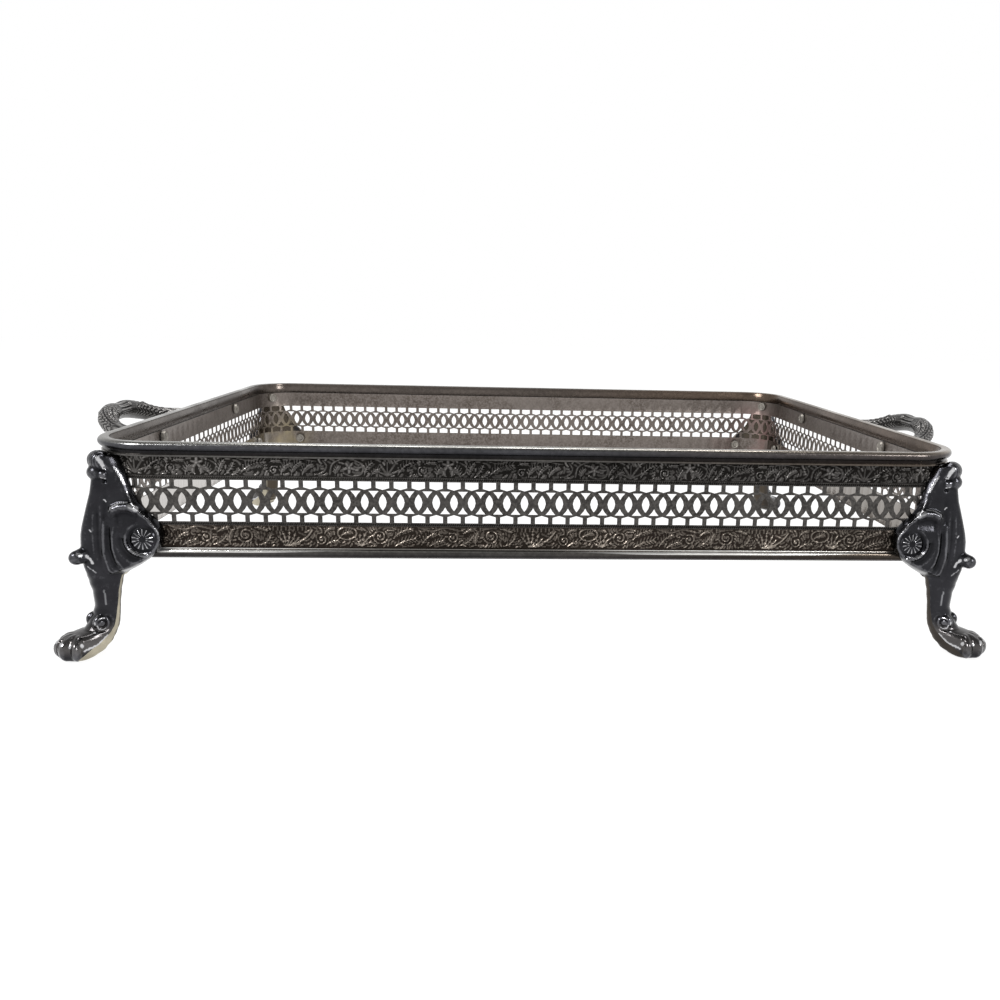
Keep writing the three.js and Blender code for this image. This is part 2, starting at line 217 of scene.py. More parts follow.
def cast(bm, voxel, rounds):
    """Melts overlapping solids into one skin, as a casting has, and softens it."""
    mesh = bpy.data.meshes.new("cast")
    bm.to_mesh(mesh)
    bm.free()
    made = bpy.data.objects.new("cast", mesh)
    remesh = made.modifiers.new("remesh", "REMESH")
    remesh.mode, remesh.voxel_size = "VOXEL", voxel
    skin = as_mesh(made)
    bpy.data.meshes.remove(mesh)
    bm = bmesh.new()
    bm.from_mesh(skin)
    bpy.data.meshes.remove(skin)
    soften(bm, bm.verts, 0.5, rounds)
    return bm


def wheel(profile, sides):
    """A turned form from points (radius, height), spun about Z."""
    bm = bmesh.new()
    verts = [bm.verts.new((radius, 0, height)) for radius, height in profile]
    edges = [bm.edges.new(pair) for pair in zip(verts, verts[1:])]
    bmesh.ops.spin(bm, geom=[*verts, *edges], cent=(0, 0, 0), axis=(0, 0, 1), angle=2 * math.pi,
                   steps=sides, use_merge=True)
    bmesh.ops.remove_doubles(bm, verts=bm.verts, dist=0.001)
    return bm


def repeated(cell, count, step):
    """Copies of one mesh in a row along X; the mesh given is freed."""
    mesh = bpy.data.meshes.new("cell")
    cell.to_mesh(mesh)
    cell.free()
    bm = bmesh.new()
    for number in range(count):
        first = len(bm.verts)
        bm.from_mesh(mesh)
        bm.verts.ensure_lookup_table()
        bmesh.ops.translate(bm, vec=(number * step, 0, 0), verts=bm.verts[first:])
    bpy.data.meshes.remove(mesh)
    return bm


def net(rows):
    """A search tree over rows of (points, width, height), and the width and height at each of its points."""
    dense = []
    for points, width, height in rows:
        for start, end in zip(points, points[1:]):
            steps = max(1, round((end - start).length / 0.3))
            dense += [(start.lerp(end, step / steps), width, height) for step in range(steps)]
        dense.append((points[-1], width, height))
    tree = kdtree.KDTree(len(dense))
    for index, (place, _, _) in enumerate(dense):
        tree.insert(place, index)
    tree.balance()
    return tree, dense


def carve(bm, rows):
    """Raises or sinks a skin along rows of (points, width, height), one by one, fading out at their ends."""
    for row in rows:
        tree, dense = net([row])
        width, height = row[1:]
        fade = max(1, len(dense) * 0.16)
        moves = []
        for vert in bm.verts:
            _, index, distance = tree.find(vert.co)
            if distance < width:
                left = min(1, (min(index, len(dense) - 1 - index) + 1) / fade)
                moves.append((vert, vert.normal * height * left * (1 - (distance / width)**2)**2))
        for vert, move in moves:
            vert.co += move
        bm.normal_update()


def soften(bm, verts, factor, rounds=1):
    """Evens out a skin, or some of it."""
    for _ in range(rounds):
        bmesh.ops.smooth_vert(bm, verts=verts, factor=factor, use_axis_x=True, use_axis_y=True,
                              use_axis_z=True)
    bm.normal_update()


def mark_raised(bm, rounds=2, gain=7):
    """Stores how far each point stands out from its neighbours, for light ridges and dark hollows."""
    layer = bm.verts.layers.float.new("raised")
    bm.normal_update()
    for vert in bm.verts:
        near = [edge.other_vert(vert).co for edge in vert.link_edges]
        mean = sum(near, Vector()) / len(near)
        span = sum((place - vert.co).length for place in near) / len(near)
        vert[layer] = (vert.co - mean).dot(vert.normal) / max(span, 1e-6) * gain
    for _ in range(rounds):
        mixed = [0.4 * vert[layer] + 0.6 * sum(edge.other_vert(vert)[layer] for edge in vert.link_edges)
                 / len(vert.link_edges) for vert in bm.verts]
        for vert, value in zip(bm.verts, mixed):
            vert[layer] = value
    for vert in bm.verts:
        vert[layer] = min(1, max(0, 0.5 + vert[layer]))


# --- the wall

# Piercing: a chain of interlaced circles, with spandrels between them and slots above and below
CELLS = 165
CELL = PERIMETER / CELLS
BAND_MIDDLE = (WALL_BOTTOM + WALL_TOP) / 2 + 2.9
LENS_HALF_WIDTH, LENS_HALF_HEIGHT = 1.65, 3.55
SLOT_HALF_WIDTH = 2.78
SLOT_TOP, SLOT_SHOULDER, SLOT_POINT = 8.9, 6.2, 5.35
SPANDREL_TIP, SPANDREL_WAIST, SPANDREL_BASE = 1.95, 3.3, 4.9
SPANDREL_WAIST_HALF, SPANDREL_HALF_WIDTH = 0.72, 2.1
HOLE_EDGE, HOLE_DROP = 0.2, 0.12
CELL_SHIFT = 0.8
PLATE = SHEET / 2

WALL_NODES = [f"gallery_{side}" for side in ("front", "right", "back", "left")]
WALL_NODES += [f"corner_plate_{corner}" for corner in CORNERS]


def ring_of(bm, points):
    """A closed ring of edges in the wall's plane, through points (along, height)."""
    verts = [bm.verts.new((along, 0, height)) for along, height in points]
    return [bm.edges.new((vert, verts[i - 1])) for i, vert in enumerate(verts)]


def lens_outline():
    """A pointed oval: two shallow arcs that meet above and below."""
    steps = 6
    rise = [math.sin((i / steps - 0.5) * math.pi) for i in range(steps)]
    right = [(LENS_HALF_WIDTH * (1 - t * t), t * LENS_HALF_HEIGHT) for t in rise]
    return [(x, BAND_MIDDLE + z) for x, z in right] + [(-x, BAND_MIDDLE - z) for x, z in right]


def slot_outline(side):
    """A slot above or below the circles, with a shallow point towards the lens."""
    corners = [(-SLOT_HALF_WIDTH, SLOT_TOP), (SLOT_HALF_WIDTH, SLOT_TOP), (SLOT_HALF_WIDTH, SLOT_SHOULDER),
               (0, SLOT_POINT), (-SLOT_HALF_WIDTH, SLOT_SHOULDER)]
    return [(x, BAND_MIDDLE + side * z) for x, z in corners]


def cell_outline():
    """One circle's stretch of the wall, with half a spandrel bitten out of each side, above and below."""
    half = CELL / 2
    bites = [(0, SPANDREL_TIP), (SPANDREL_WAIST_HALF, SPANDREL_WAIST), (SPANDREL_HALF_WIDTH, SPANDREL_BASE),
             (0, SPANDREL_BASE)]
    upper = [(x, BAND_MIDDLE + z) for x, z in bites]
    lower = [(x, BAND_MIDDLE - z) for x, z in reversed(bites)]
    left = [(0, WALL_BOTTOM), *lower, *upper, (0, WALL_TOP)]
    return [(-half + x, z) for x, z in left] + [(half - x, z) for x, z in reversed(left)]


def add_gallery_wall(material):
    """The pierced sheet, cut as one flat cell, repeated and bent round the frame."""
    cell = bmesh.new()
    edges = ring_of(cell, cell_outline()) + ring_of(cell, lens_outline())
    edges += ring_of(cell, slot_outline(1)) + ring_of(cell, slot_outline(-1))
    bmesh.ops.triangle_fill(cell, edges=edges, use_beauty=True, use_dissolve=False, normal=(0, -1, 0))
    for share in (-0.25, 0, 0.25):
        bmesh.ops.bisect_plane(cell, geom=[*cell.verts, *cell.edges, *cell.faces], dist=0.001,
                               plane_co=(share * CELL, 0, 0), plane_no=(1, 0, 0))
    for vert in cell.verts:
        vert.co.y = HOLE_DROP
    bm = repeated(cell, CELLS, CELL)
    bmesh.ops.translate(bm, vec=(CELL_SHIFT, 0, 0), verts=bm.verts)
    bend_round_frame(bm)
    bmesh.ops.recalc_face_normals(bm, faces=bm.faces)
    face = max(bm.faces, key=lambda f: f.calc_center_median().x)
    if face.normal.x < 0:
        bmesh.ops.reverse_faces(bm, faces=bm.faces)
    bmesh.ops.inset_region(bm, faces=bm.faces, thickness=HOLE_EDGE, depth=HOLE_DROP, use_boundary=True,
                           use_even_offset=True)
    bmesh.ops.solidify(bm, geom=bm.faces, thickness=PLATE - HOLE_DROP)
    return piece("gallery_wall", bm, material, WALL_NODES)


# Twisted cords above and below the piercing: beads to a circle, a bead's radii, its lean, the cords' heights
CORD_BEADS = 8
CORD_BEAD = (0.4, 0.42, 0.72)
CORD_LEAN = 0.5
CORDS = {"upper": BAND_MIDDLE + SLOT_TOP + 0.95, "lower": BAND_MIDDLE - SLOT_TOP - 0.85}


def add_cords(material):
    """The two twisted cords chased above and below the piercing: slanted beads in a row."""
    for name, height in CORDS.items():
        cell = bmesh.new()
        for number in range(CORD_BEADS):
            matrix = Matrix.Translation(((number + 0.5) * CELL / CORD_BEADS, 0, height))
            matrix = matrix @ Matrix.Rotation(CORD_LEAN, 4, "Y") @ Matrix.Diagonal((*CORD_BEAD, 1))
            bmesh.ops.create_icosphere(cell, subdivisions=1, radius=1, matrix=matrix)
        bm = repeated(cell, CELLS, CELL)
        for vert in bm.verts:
            vert.co = wall_place(vert.co.x, -vert.co.y, vert.co.z)
        bmesh.ops.recalc_face_normals(bm, faces=bm.faces)
        piece(f"chased_cord_{name}", bm, material, recalculate=False)


# Chased borders: one pattern, repeated round the wall, between two heights
REPEATS = 12
REPEAT = PERIMETER / REPEATS
UPPER_BORDER = (BAND_MIDDLE + SLOT_TOP + 1.75, rim_low.z + 0.1)
LOWER_BORDER = (moulding_high.z - 0.1, BAND_MIDDLE - SLOT_TOP - 1.6)
# How far the chasing stands out where it counts as fully raised, and how near the strip's edge it fades
FULL_RELIEF, EDGE_FADE = 0.6, 0.5
STRIP_FRONT, STRIP_BACK = -0.03, 0.3


def flat(points):
    """Points (along, height) on the border's flat pattern."""
    return [Vector((along, 0, height)) for along, height in points]


def bow(start, end, bulge, steps=12):
    """A shallow arc between two points of the pattern; a positive bulge lifts its middle to the left."""
    start, end = Vector(start), Vector(end)
    side = Vector((start.y - end.y, end.x - start.x))
    shares = [step / steps for step in range(steps + 1)]
    return [tuple(start.lerp(end, t) + side * bulge * 4 * t * (1 - t)) for t in shares]


def spiral(middle, radius, turns, start, sense=1, steps=26):
    """A scroll that winds in from its outer end to an eye in its middle."""
    line = []
    for step in range(steps + 1):
        share = step / steps
        angle = math.radians(start) + sense * 2 * math.pi * turns * share
        reach = radius * (1 - 0.8 * share)
        line.append((middle[0] + reach * math.cos(angle), middle[1] + reach * math.sin(angle)))
    return [(flat(line), 0.38, 0.5), (flat([middle, middle]), 0.6, 0.5)]


def leaf(start, end, bulge, half, barbs=6, tip=0.25):
    """A leaf with a raised midrib and lobed edges, from its stalk to its tip."""
    rib = bow(start, end, bulge)
    length = (Vector(end) - Vector(start)).length
    rows = [(flat(rib), 0.32, 0.55)]
    for number in range(1, barbs + 1):
        share = number / (barbs + 1)
        at = share * (len(rib) - 1)
        low = Vector(rib[int(at)])
        place = low.lerp(Vector(rib[min(int(at) + 1, len(rib) - 1)]), at % 1)
        ahead = (Vector(rib[min(int(at) + 1, len(rib) - 1)]) - Vector(rib[max(int(at) - 1, 0)])).normalized()
        aside = Vector((-ahead.y, ahead.x))
        reach = half * (math.sin(math.pi * (share * (1 - tip) + tip / 2)) ** 0.8)
        for side in (-1, 1):
            far = place + aside * side * reach + ahead * (reach * 0.75 + length * 0.03)
            rows.append((flat([tuple(place + (far - place) * 0.25), tuple(far)]), 0.34, 0.42))
    return rows


def petals(middle, radius, count, start=90):
    """A small flower: round petals about a button."""
    rows = [(flat([middle, middle]), 0.6, 0.7)]
    for number in range(count):
        angle = math.radians(start + 360 * number / count)
        near, far = ((middle[0] + reach * math.cos(angle), middle[1] + reach * math.sin(angle))
                     for reach in (0.5 * radius, 0.95 * radius))
        rows.append((flat([near, far]), 0.72, 0.5))
    return rows


def stem(*points, width=0.42, height=0.42):
    """A bent stem through a few points."""
    smooth = []
    for index in range(len(points) - 1):
        before = Vector(points[max(index - 1, 0)])
        start, end = Vector(points[index]), Vector(points[index + 1])
        after = Vector(points[min(index + 2, len(points) - 1)])
        for step in range(6):
            t = step / 6
            bend = 2 * before - 5 * start + 4 * end - after
            twist = 3 * start - before - 3 * end + after
            smooth.append(tuple(0.5 * (2 * start + (end - before) * t + bend * t**2 + twist * t**3)))
    smooth.append(points[-1])
    return [(flat(smooth), width, height)]


def three_turns(rows):
    """A pattern's rows with their neighbours on either side, so that the repeats join."""
    return [([place + Vector((turn, 0, 0)) for place in points], width, height)
            for points, width, height in rows for turn in (-REPEAT, 0, REPEAT)]


# Small leaves sown between the motifs: the curls that they sweep round, a leaf's step, turn and lean, and how
# near the border's edge one may come
CURLS, LEAF_STEP, LEAF_TURN, LEAF_SWEEP, LEAF_MARGIN = 14, 0.42, 0.16, 0.9, 0.3


def sown(rows, low, high, width, seed, apart=0.9, tries=9000):
    """The pattern with small leaves sown on the ground it leaves, sweeping round a chain of curls."""
    chance = random.Random(seed)
    start = rows[0][0][0].x
    taken = {}

    def keep(places):
        for place in places:
            taken.setdefault((place.x // apart, place.z // apart), []).append(place)

    keep([place for place, *_ in net(three_turns(rows))[1]])
    for _ in range(tries):
        place = Vector((start + REPEAT * chance.random(), 0, chance.uniform(low, high)))
        curl = round((place.x - start) / REPEAT * CURLS)
        middle = Vector((start + REPEAT * curl / CURLS, 0, low + (high - low) * (0.25 if curl % 2 else 0.75)))
        turn = 1 if curl % 2 else -1
        angle = math.atan2(place.z - middle.z, place.x - middle.x) + turn * LEAF_SWEEP
        line = []
        for _ in range(chance.choice((5, 7, 9))):
            square = place.x // apart, place.z // apart
            around = [other for i in (-1, 0, 1) for j in (-1, 0, 1)
                      for other in taken.get((square[0] + i, square[1] + j), ())]
            crowded = any((place - other).length < apart for other in around)
            if crowded or not low + LEAF_MARGIN < place.z < high - LEAF_MARGIN:
                break
            line.append(place)
            place = place + Vector((math.cos(angle), 0, math.sin(angle))) * LEAF_STEP
            angle += turn * LEAF_TURN
        if len(line) > 2:
            rows.append((line, width, chance.uniform(0.34, 0.52)))
            keep(line)
    return rows


def drawn(shape, table):
    """The rows of every shape of one kind in a table."""
    return [row for values in table for row in shape(*values)]


def fan(shape, foot, ribs):
    """The rows of shapes that fan out from a foot, each with its reach and its angle in degrees."""
    for reach, turn in ribs:
        angle = math.radians(turn)
        yield from shape(angle, (foot[0] + reach * math.cos(angle), foot[1] + reach * math.sin(angle)))


# The border under the rim. Leaves: stalk, tip, bend, half width, pairs of barbs
UPPER_LEAVES = [
    ((-163.5, 78.0), (-156.2, 83.8), 0.12, 1.9, 6), ((-160.0, 77.4), (-154.8, 77.8), -0.1, 1.0, 3),
    ((-152.5, 82.6), (-147.4, 83.6), 0.1, 1.3, 4), ((-147.2, 77.2), (-145.2, 81.6), 0.1, 1.7, 4),
    ((-137.6, 77.2), (-139.8, 81.6), -0.1, 1.7, 4), ((-143.4, 77.4), (-144.4, 79.8), 0.1, 1.0, 3),
    ((-141.2, 77.4), (-140.8, 79.8), -0.1, 1.0, 3), ((-133.8, 77.2), (-131.4, 83.6), 0.1, 1.2, 5),
    ((-131.4, 77.2), (-127.6, 82.6), -0.08, 1.1, 5), ((-129.2, 77.2), (-125.0, 79.8), -0.14, 1.1, 4),
    ((-124.6, 78.4), (-114.6, 82.8), 0.12, 2.4, 8), ((-113.2, 82.6), (-108.4, 83.6), 0.12, 1.2, 4),
    ((-108.4, 77.4), (-104.0, 82.6), 0.18, 1.6, 6), ((-104.2, 77.4), (-99.6, 83.4), 0.16, 1.6, 6),
    ((-99.8, 77.4), (-95.2, 82.2), 0.16, 1.5, 6), ((-86.2, 77.4), (-84.6, 81.6), 0.1, 1.1, 4),
    ((-74.2, 77.6), (-70.4, 83.4), 0.12, 1.4, 5), ((-71.4, 77.4), (-67.6, 80.6), 0.1, 1.1, 4),
]
# Scrolls: middle, radius, turns, first angle, sense. Flowers: middle, radius, petals, first angle
UPPER_SCROLLS = [((-153.0, 79.9), 2.3, 1.4, 250, -1), ((-111.4, 79.4), 1.9, 1.2, 40, 1)]
UPPER_FLOWERS = [((-142.5, 82.3), 2.1, 5, 90), ((-80.4, 80.9), 2.2, 5, 54)]
UPPER_STEMS = [
    ((-137.5, 83.6), (-134.8, 81.6), (-135.4, 78.8), (-137.4, 77.4)),
    ((-125.8, 84.2), (-121.0, 83.4), (-117.4, 84.4)), ((-107.4, 83.8), (-101.0, 84.4), (-94.2, 83.4)),
    ((-94.8, 77.6), (-91.4, 78.6), (-89.8, 81.2), (-91.2, 83.8)),
]
# The wreath round the second flower, and the fan that closes the repeat
WREATH = [(-88.4, 78.0), (-87.4, 82.2), (-83.6, 84.4), (-78.4, 84.2), (-74.8, 81.8), (-75.4, 78.4),
          (-79.0, 77.2), (-82.6, 78.4)]
UPPER_FAN, UPPER_FAN_RIBS = (-64.6, 77.6), [(5.6, 24 + 33 * rib) for rib in range(5)]


def upper_pattern():
    """Leaves, flowers and scrolls of the border under the rim."""
    rows = drawn(leaf, UPPER_LEAVES) + drawn(spiral, UPPER_SCROLLS) + drawn(petals, UPPER_FLOWERS)
    rows += drawn(stem, UPPER_STEMS) + stem(*WREATH, width=0.5, height=0.45)
    rows += fan(lambda _, tip: stem(UPPER_FAN, tip, width=0.5), UPPER_FAN, UPPER_FAN_RIBS)
    return sown(rows, 76.6, 85.0, width=0.58, seed=3)


# The border over the base, in the same way
LOWER_SCROLLS = [((-124.2, 51.4), 3.4, 1.7, 200, 1), ((-68.2, 51.0), 3.4, 1.7, 340, -1),
                 ((-92.6, 49.6), 2.2, 1.3, 180, 1), ((-37.4, 50.4), 2.5, 1.4, 120, -1)]
LOWER_LEAVES = [
    ((-84.4, 51.4), (-79.6, 53.2), 0.1, 1.2, 4), ((-91.0, 47.0), (-84.6, 49.0), 0.14, 1.2, 4),
    ((-91.4, 52.0), (-87.2, 55.0), 0.2, 1.2, 4), ((-61.8, 46.8), (-52.0, 50.2), 0.08, 1.7, 6),
    ((-62.4, 50.2), (-54.0, 54.6), 0.12, 1.6, 6), ((-50.8, 47.0), (-44.2, 52.8), 0.12, 1.6, 6),
    ((-47.0, 46.8), (-40.4, 49.4), 0.1, 1.2, 5), ((-34.4, 47.2), (-28.6, 51.6), -0.12, 1.4, 5),
    ((-32.6, 52.4), (-27.4, 55.0), 0.1, 1.2, 4), ((-118.6, 47.0), (-113.4, 52.6), -0.16, 1.3, 5),
    ((-130.6, 47.2), (-129.4, 53.6), 0.14, 1.2, 5), ((-120.2, 54.6), (-115.0, 53.2), 0.1, 0.9, 4),
]
# An oval ring: middle, half its width and height. Two fans: foot, then each leaf's reach and angle
OVAL, OVAL_HALF = (-82.0, 52.4), (4.0, 2.7)
LARGE_FAN, LARGE_FAN_FOOT = (-107.5, 46.8), 0.9
LARGE_FAN_LEAVES = [(6.0, 12), (6.8, 34), (7.2, 56), (7.0, 80), (6.4, 104), (5.6, 130)]
SMALL_FAN = (-75.4, 46.9)
SMALL_FAN_LEAVES = [(5.0, 20), (6.2, 48), (6.6, 74), (6.2, 100), (5.2, 128), (4.4, 154)]
# Small arches over the large fan: the first one's middle, the way between two, how many
ARCHES_START, ARCHES_STEP, ARCHES = -111.6, 3.4, 5


def lower_pattern():
    """Scrolls and fanned leaves of the border over the base."""
    turns = [step * math.pi / 10 for step in range(21)]
    ring = [(OVAL[0] + OVAL_HALF[0] * math.cos(a), OVAL[1] + OVAL_HALF[1] * math.sin(a)) for a in turns]
    rows = drawn(spiral, LOWER_SCROLLS) + drawn(leaf, LOWER_LEAVES) + [(flat(ring), 0.45, 0.5)]

    def large_leaf(angle, tip):
        return leaf((LARGE_FAN[0] + LARGE_FAN_FOOT * math.cos(angle), LARGE_FAN[1]), tip, -0.08, 0.5, 3)

    rows += fan(large_leaf, LARGE_FAN, LARGE_FAN_LEAVES)
    rows += fan(lambda _, tip: leaf(SMALL_FAN, tip, 0.1, 0.5, 2), SMALL_FAN, SMALL_FAN_LEAVES)
    rows += stem((-106.5, 46.8), (-102.6, 48.2), (-99.0, 50.4), (-96.6, 53.6), width=0.5, height=0.5)
    for number in range(ARCHES):
        middle = ARCHES_START + ARCHES_STEP * number
        rows += stem((middle - 1.2, 53.6), (middle - 0.9, 55.2), (middle + 0.5, 55.2), (middle + 0.8, 53.8))
    rows += stem((-52.0, 55.2), (-46.0, 53.6), (-40.6, 55.0), (-34.6, 53.8), width=0.5)
    return sown(rows, 46.2, 56.0, width=0.46, seed=8, apart=0.8)


def add_border(name, rows, low, high, fine, material):
    """A chased border: a fine strip that follows the pattern, bent round the wall and closed behind."""
    tree, dense = net(three_turns(rows))
    start = rows[0][0][0].x
    widest = max(width for _, width, _ in dense) + 0.01
    columns, across = round(REPEAT / fine), round((high - low) / fine)
    cell = sheet(columns, across, lambda u, v: Vector((start + REPEAT * u, 0, low + (high - low) * v)))
    grain = cell.verts.layers.float.new("raised")
    for vert in cell.verts:
        height = 0
        for _, index, distance in tree.find_range(vert.co, widest):
            width, full = dense[index][1:]
            if distance < width:
                height = max(height, full * math.sqrt(1 - (distance / width)**2))
        height *= min(1, min(vert.co.z - low, high - vert.co.z) / EDGE_FADE)
        vert[grain] = min(1, height / FULL_RELIEF)
        vert.co.y = STRIP_FRONT - height
    rims = [[edge for edge in cell.edges if all(abs(vert.co.z - level) < 0.01 for vert in edge.verts)]
            for level in (low, high)]
    back = []
    for rim in rims:
        made = bmesh.ops.extrude_edge_only(cell, edges=rim)["geom"]
        for item in made:
            if isinstance(item, bmesh.types.BMVert):
                item.co.y = STRIP_BACK
        back += [item for item in made if isinstance(item, bmesh.types.BMEdge)
                 and all(abs(vert.co.y - STRIP_BACK) < 0.01 for vert in item.verts)]
    bmesh.ops.bridge_loops(cell, edges=back)
    bm = repeated(cell, REPEATS, REPEAT)
    bend_round_frame(bm)
    piece(name, bm, material)


def wall_outward(place):
    """The direction straight out from the wall beside a point."""
    x = max(abs(place.x) - STRAIGHTS[0] / 2, 0)
    y = max(abs(place.y) - STRAIGHTS[1] / 2, 0)
    return Vector((math.copysign(x, place.x), math.copysign(y, place.y), 0)).normalized()


def rim_section():
    """The rim's section, as (distance out from the wall's face, height)."""
    over = rim_high.x - HALF_LENGTH
    roll, hollow, skirt, flat_width = 1.9, 2.6, 3.2, 2.6
    low, high = rim_low.z, rim_high.z
    middle = over - roll
    back = -PLATE - 0.03
    points = [(back, low), (back, high - 1.9), (back + 0.4, high - 1.3), (middle - flat_width, high - 0.25),
              (middle - flat_width + 0.8, high)]
    for step in range(13):
        angle = math.pi * (0.5 - step / 12)
        points.append((middle + roll * math.cos(angle), high - roll + roll * math.sin(angle)))
    return points + [(hollow, high - 2 * roll - 0.4), (hollow, low + 0.9), (skirt, low + 0.7), (skirt, low)]


def moulding_section():
    """The base moulding's section: a half-round between two narrow fillets."""
    low, high, depth = moulding_low.z, moulding_high.z, moulding_high.x - HALF_LENGTH
    middle, half = (low + high) / 2, (high - low) / 2
    points = [(-0.1, low), (-0.1, high), (0.75, high), (0.9, high - 0.35)]
    for step in range(13):
        angle = math.pi * (0.46 - 0.92 * step / 12)
        points.append((0.7 + (depth - 0.7) * math.cos(angle), middle + (half - 0.25) * math.sin(angle)))
    return points + [(0.75, low)]


def carried_round(section):
    """A section carried once round the frame, with stations only where the corners need them."""
    stations, start, steps = [], -STRAIGHTS[0] / 2, 16
    for straight in STRAIGHTS:
        stations.append(start)
        stations += [start + straight + CORNER_ARC * step / steps for step in range(steps)]
        start += straight + CORNER_ARC
    stations.append(start)
    bm = bmesh.new()
    verts = [bm.verts.new((stations[0], -out, height)) for out, height in section]
    edges = [bm.edges.new((vert, verts[i - 1])) for i, vert in enumerate(verts)]
    for before, after in zip(stations, stations[1:]):
        made = bmesh.ops.extrude_edge_only(bm, edges=edges)["geom"]
        moved = [item for item in made if isinstance(item, bmesh.types.BMVert)]
        bmesh.ops.translate(bm, vec=(after - before, 0, 0), verts=moved)
        edges = [item for item in made if isinstance(item, bmesh.types.BMEdge)]
    bend_round_frame(bm)
    return bm


# A rivet head's profile as shares of its radius and of how far it stands proud, from its foot in the wall
RIVET_PROFILE = [(1, -0.2), (0.9, 0.42), (0.66, 0.5), (0.48, 0.1), (0, 0.02)]
CORNER_RIVET_PROUD = 1.2


def add_rivets(material):
    """The rivets' heads inside the wall: a ring with a sunk middle."""
    bm = bmesh.new()
    nodes = [f"foot_rivet_{corner}_{place}" for corner in CORNERS for place in ("corner", "long_side", "end")]
    nodes += [f"handle_rivet_{side}" for side in ("left_front", "left_back", "right_front", "right_back")]
    for node_name in nodes:
        low, high = box_mm(node_name)
        middle, radius = (low + high) / 2, (high.z - low.z) / 2
        proud = CORNER_RIVET_PROUD if node_name.endswith("corner") else min(high.x - low.x, high.y - low.y)
        foot = -0.5 - PLATE / proud
        profile = [(0, foot), (1, foot), *RIVET_PROFILE]
        turn = (-wall_outward(middle)).to_track_quat("Z", "Y").to_matrix().to_4x4()
        head = wheel([(share * radius, height * proud) for share, height in profile], 20)
        add_mesh(bm, head, Matrix.Translation(middle) @ turn)
    piece("rivet_heads", bm, material, nodes)


# --- the foot

# The rounding of the shield's spine and of its edges, and how far its back stands off the wall's face
SPINE_ROUNDING, EDGE_ROUNDING = 4.0, 2.2
SHIELD_BACK = -0.15
# Shield, level by level: height, half its width round the corner, how far out its spine is
SHIELD_LEVELS = [
    (32.4, 2.0, 13.6), (34.0, 4.2, 14.6), (35.2, 6.2, 15.0), (36.5, 8.8, 15.4), (38.0, 11.4, 15.8),
    (39.5, 13.6, 16.0), (41.5, 16.4, 16.3), (44.0, 19.4, 16.4),
    (48.0, 21.9, 16.3), (51.5, 22.6, 16.1), (55.0, 21.9, 15.4), (59.0, 18.6, 14.2), (62.2, 14.9, 13.2),
    (65.3, 12.4, 12.2),
    (69.0, 10.6, 11.0), (73.0, 9.3, 10.2), (77.0, 7.8, 9.6), (81.0, 5.9, 9.6), (84.4, 4.6, 9.4),
]
# Leg, level by level: height, half its width, how far out its back and its front lie
LEG_LEVELS = [
    (0.0, 5.0, 17.5, 25.6), (1.0, 6.4, 14.4, 28.0), (3.0, 7.3, 10.4, 29.4), (6.0, 7.4, 7.2, 29.8),
    (8.6, 7.0, 5.6, 28.6), (10.2, 6.5, 4.9, 25.0), (11.2, 6.2, 4.5, 17.8), (14.0, 6.0, 4.0, 15.8),
    (17.0, 5.9, 3.7, 13.8), (20.5, 5.8, 3.4, 12.8), (26.5, 5.9, 2.5, 13.1), (31.0, 6.6, 1.5, 14.1),
    (35.0, 7.2, 0.4, 14.9), (40.0, 7.2, 0.0, 15.0), (46.0, 5.0, 0.0, 12.0),
]


def between(levels, height):
    """The values of a table of levels at any height."""
    for low, high in zip(levels, levels[1:]):
        if height <= high[0]:
            break
    share = min(1, max(0, (height - low[0]) / (high[0] - low[0])))
    share = share * share * (3 - 2 * share) if levels is LEG_LEVELS else share
    return [a + (b - a) * share for a, b in zip(low[1:], high[1:])]


def face_depth(height):
    """How far the shield's flat faces stand before the walls beside the corner."""
    spine = between(SHIELD_LEVELS, height)[1]
    return (spine + CORNER_RADIUS - SPINE_ROUNDING) / math.sqrt(2) + SPINE_ROUNDING - CORNER_RADIUS


def shield_front(along, height):
    """How far out the shield's front is: two flat faces, a rounded spine between them and rounded edges."""
    half, spine = between(SHIELD_LEVELS, height)
    depth = face_depth(height)
    angle = min(abs(along) / CORNER_RADIUS, QUARTER / 2)
    centre = (CORNER_RADIUS + depth - SPINE_ROUNDING) * math.sqrt(2)
    tangent = QUARTER / 2 - math.atan2(CORNER_RADIUS + depth - SPINE_ROUNDING, CORNER_RADIUS + depth)
    if angle < tangent:
        beside = centre * math.sin(angle)
        reach = centre * math.cos(angle) + math.sqrt(max(SPINE_ROUNDING**2 - beside**2, 0))
    else:
        reach = (CORNER_RADIUS + depth) / math.cos(QUARTER / 2 - angle)
    left = min(1, max(0, (half - abs(along)) / EDGE_ROUNDING))
    return SHIELD_BACK + (reach - CORNER_RADIUS - SHIELD_BACK) * math.sqrt(1 - (1 - left)**2)


# The share of the shield's columns that lies on its front; the rest closes its back
FRONT_SHARE = 0.75


def shield_body():
    """The shield of the foot, from the leg to the finial's neck."""
    low, high = SHIELD_LEVELS[0][0], SHIELD_LEVELS[-1][0]

    def place(across, up):
        height = low + (high - low) * up
        half = between(SHIELD_LEVELS, height)[0]
        front = across < FRONT_SHARE
        share = across / FRONT_SHARE if front else (1 - across) / (1 - FRONT_SHARE)
        along = half * math.sin((share * 2 - 1) * QUARTER)
        return corner_place(along, shield_front(along, height) if front else SHIELD_BACK, height)

    bm = sheet(90, 120, place)
    close_ends(bm)
    return bm


# The leg's section: where it is widest, from its back to its front, and how round its front and back are
LEG_MIDDLE, LEG_FRONT, LEG_BACK = 0.42, 0.9, 0.75


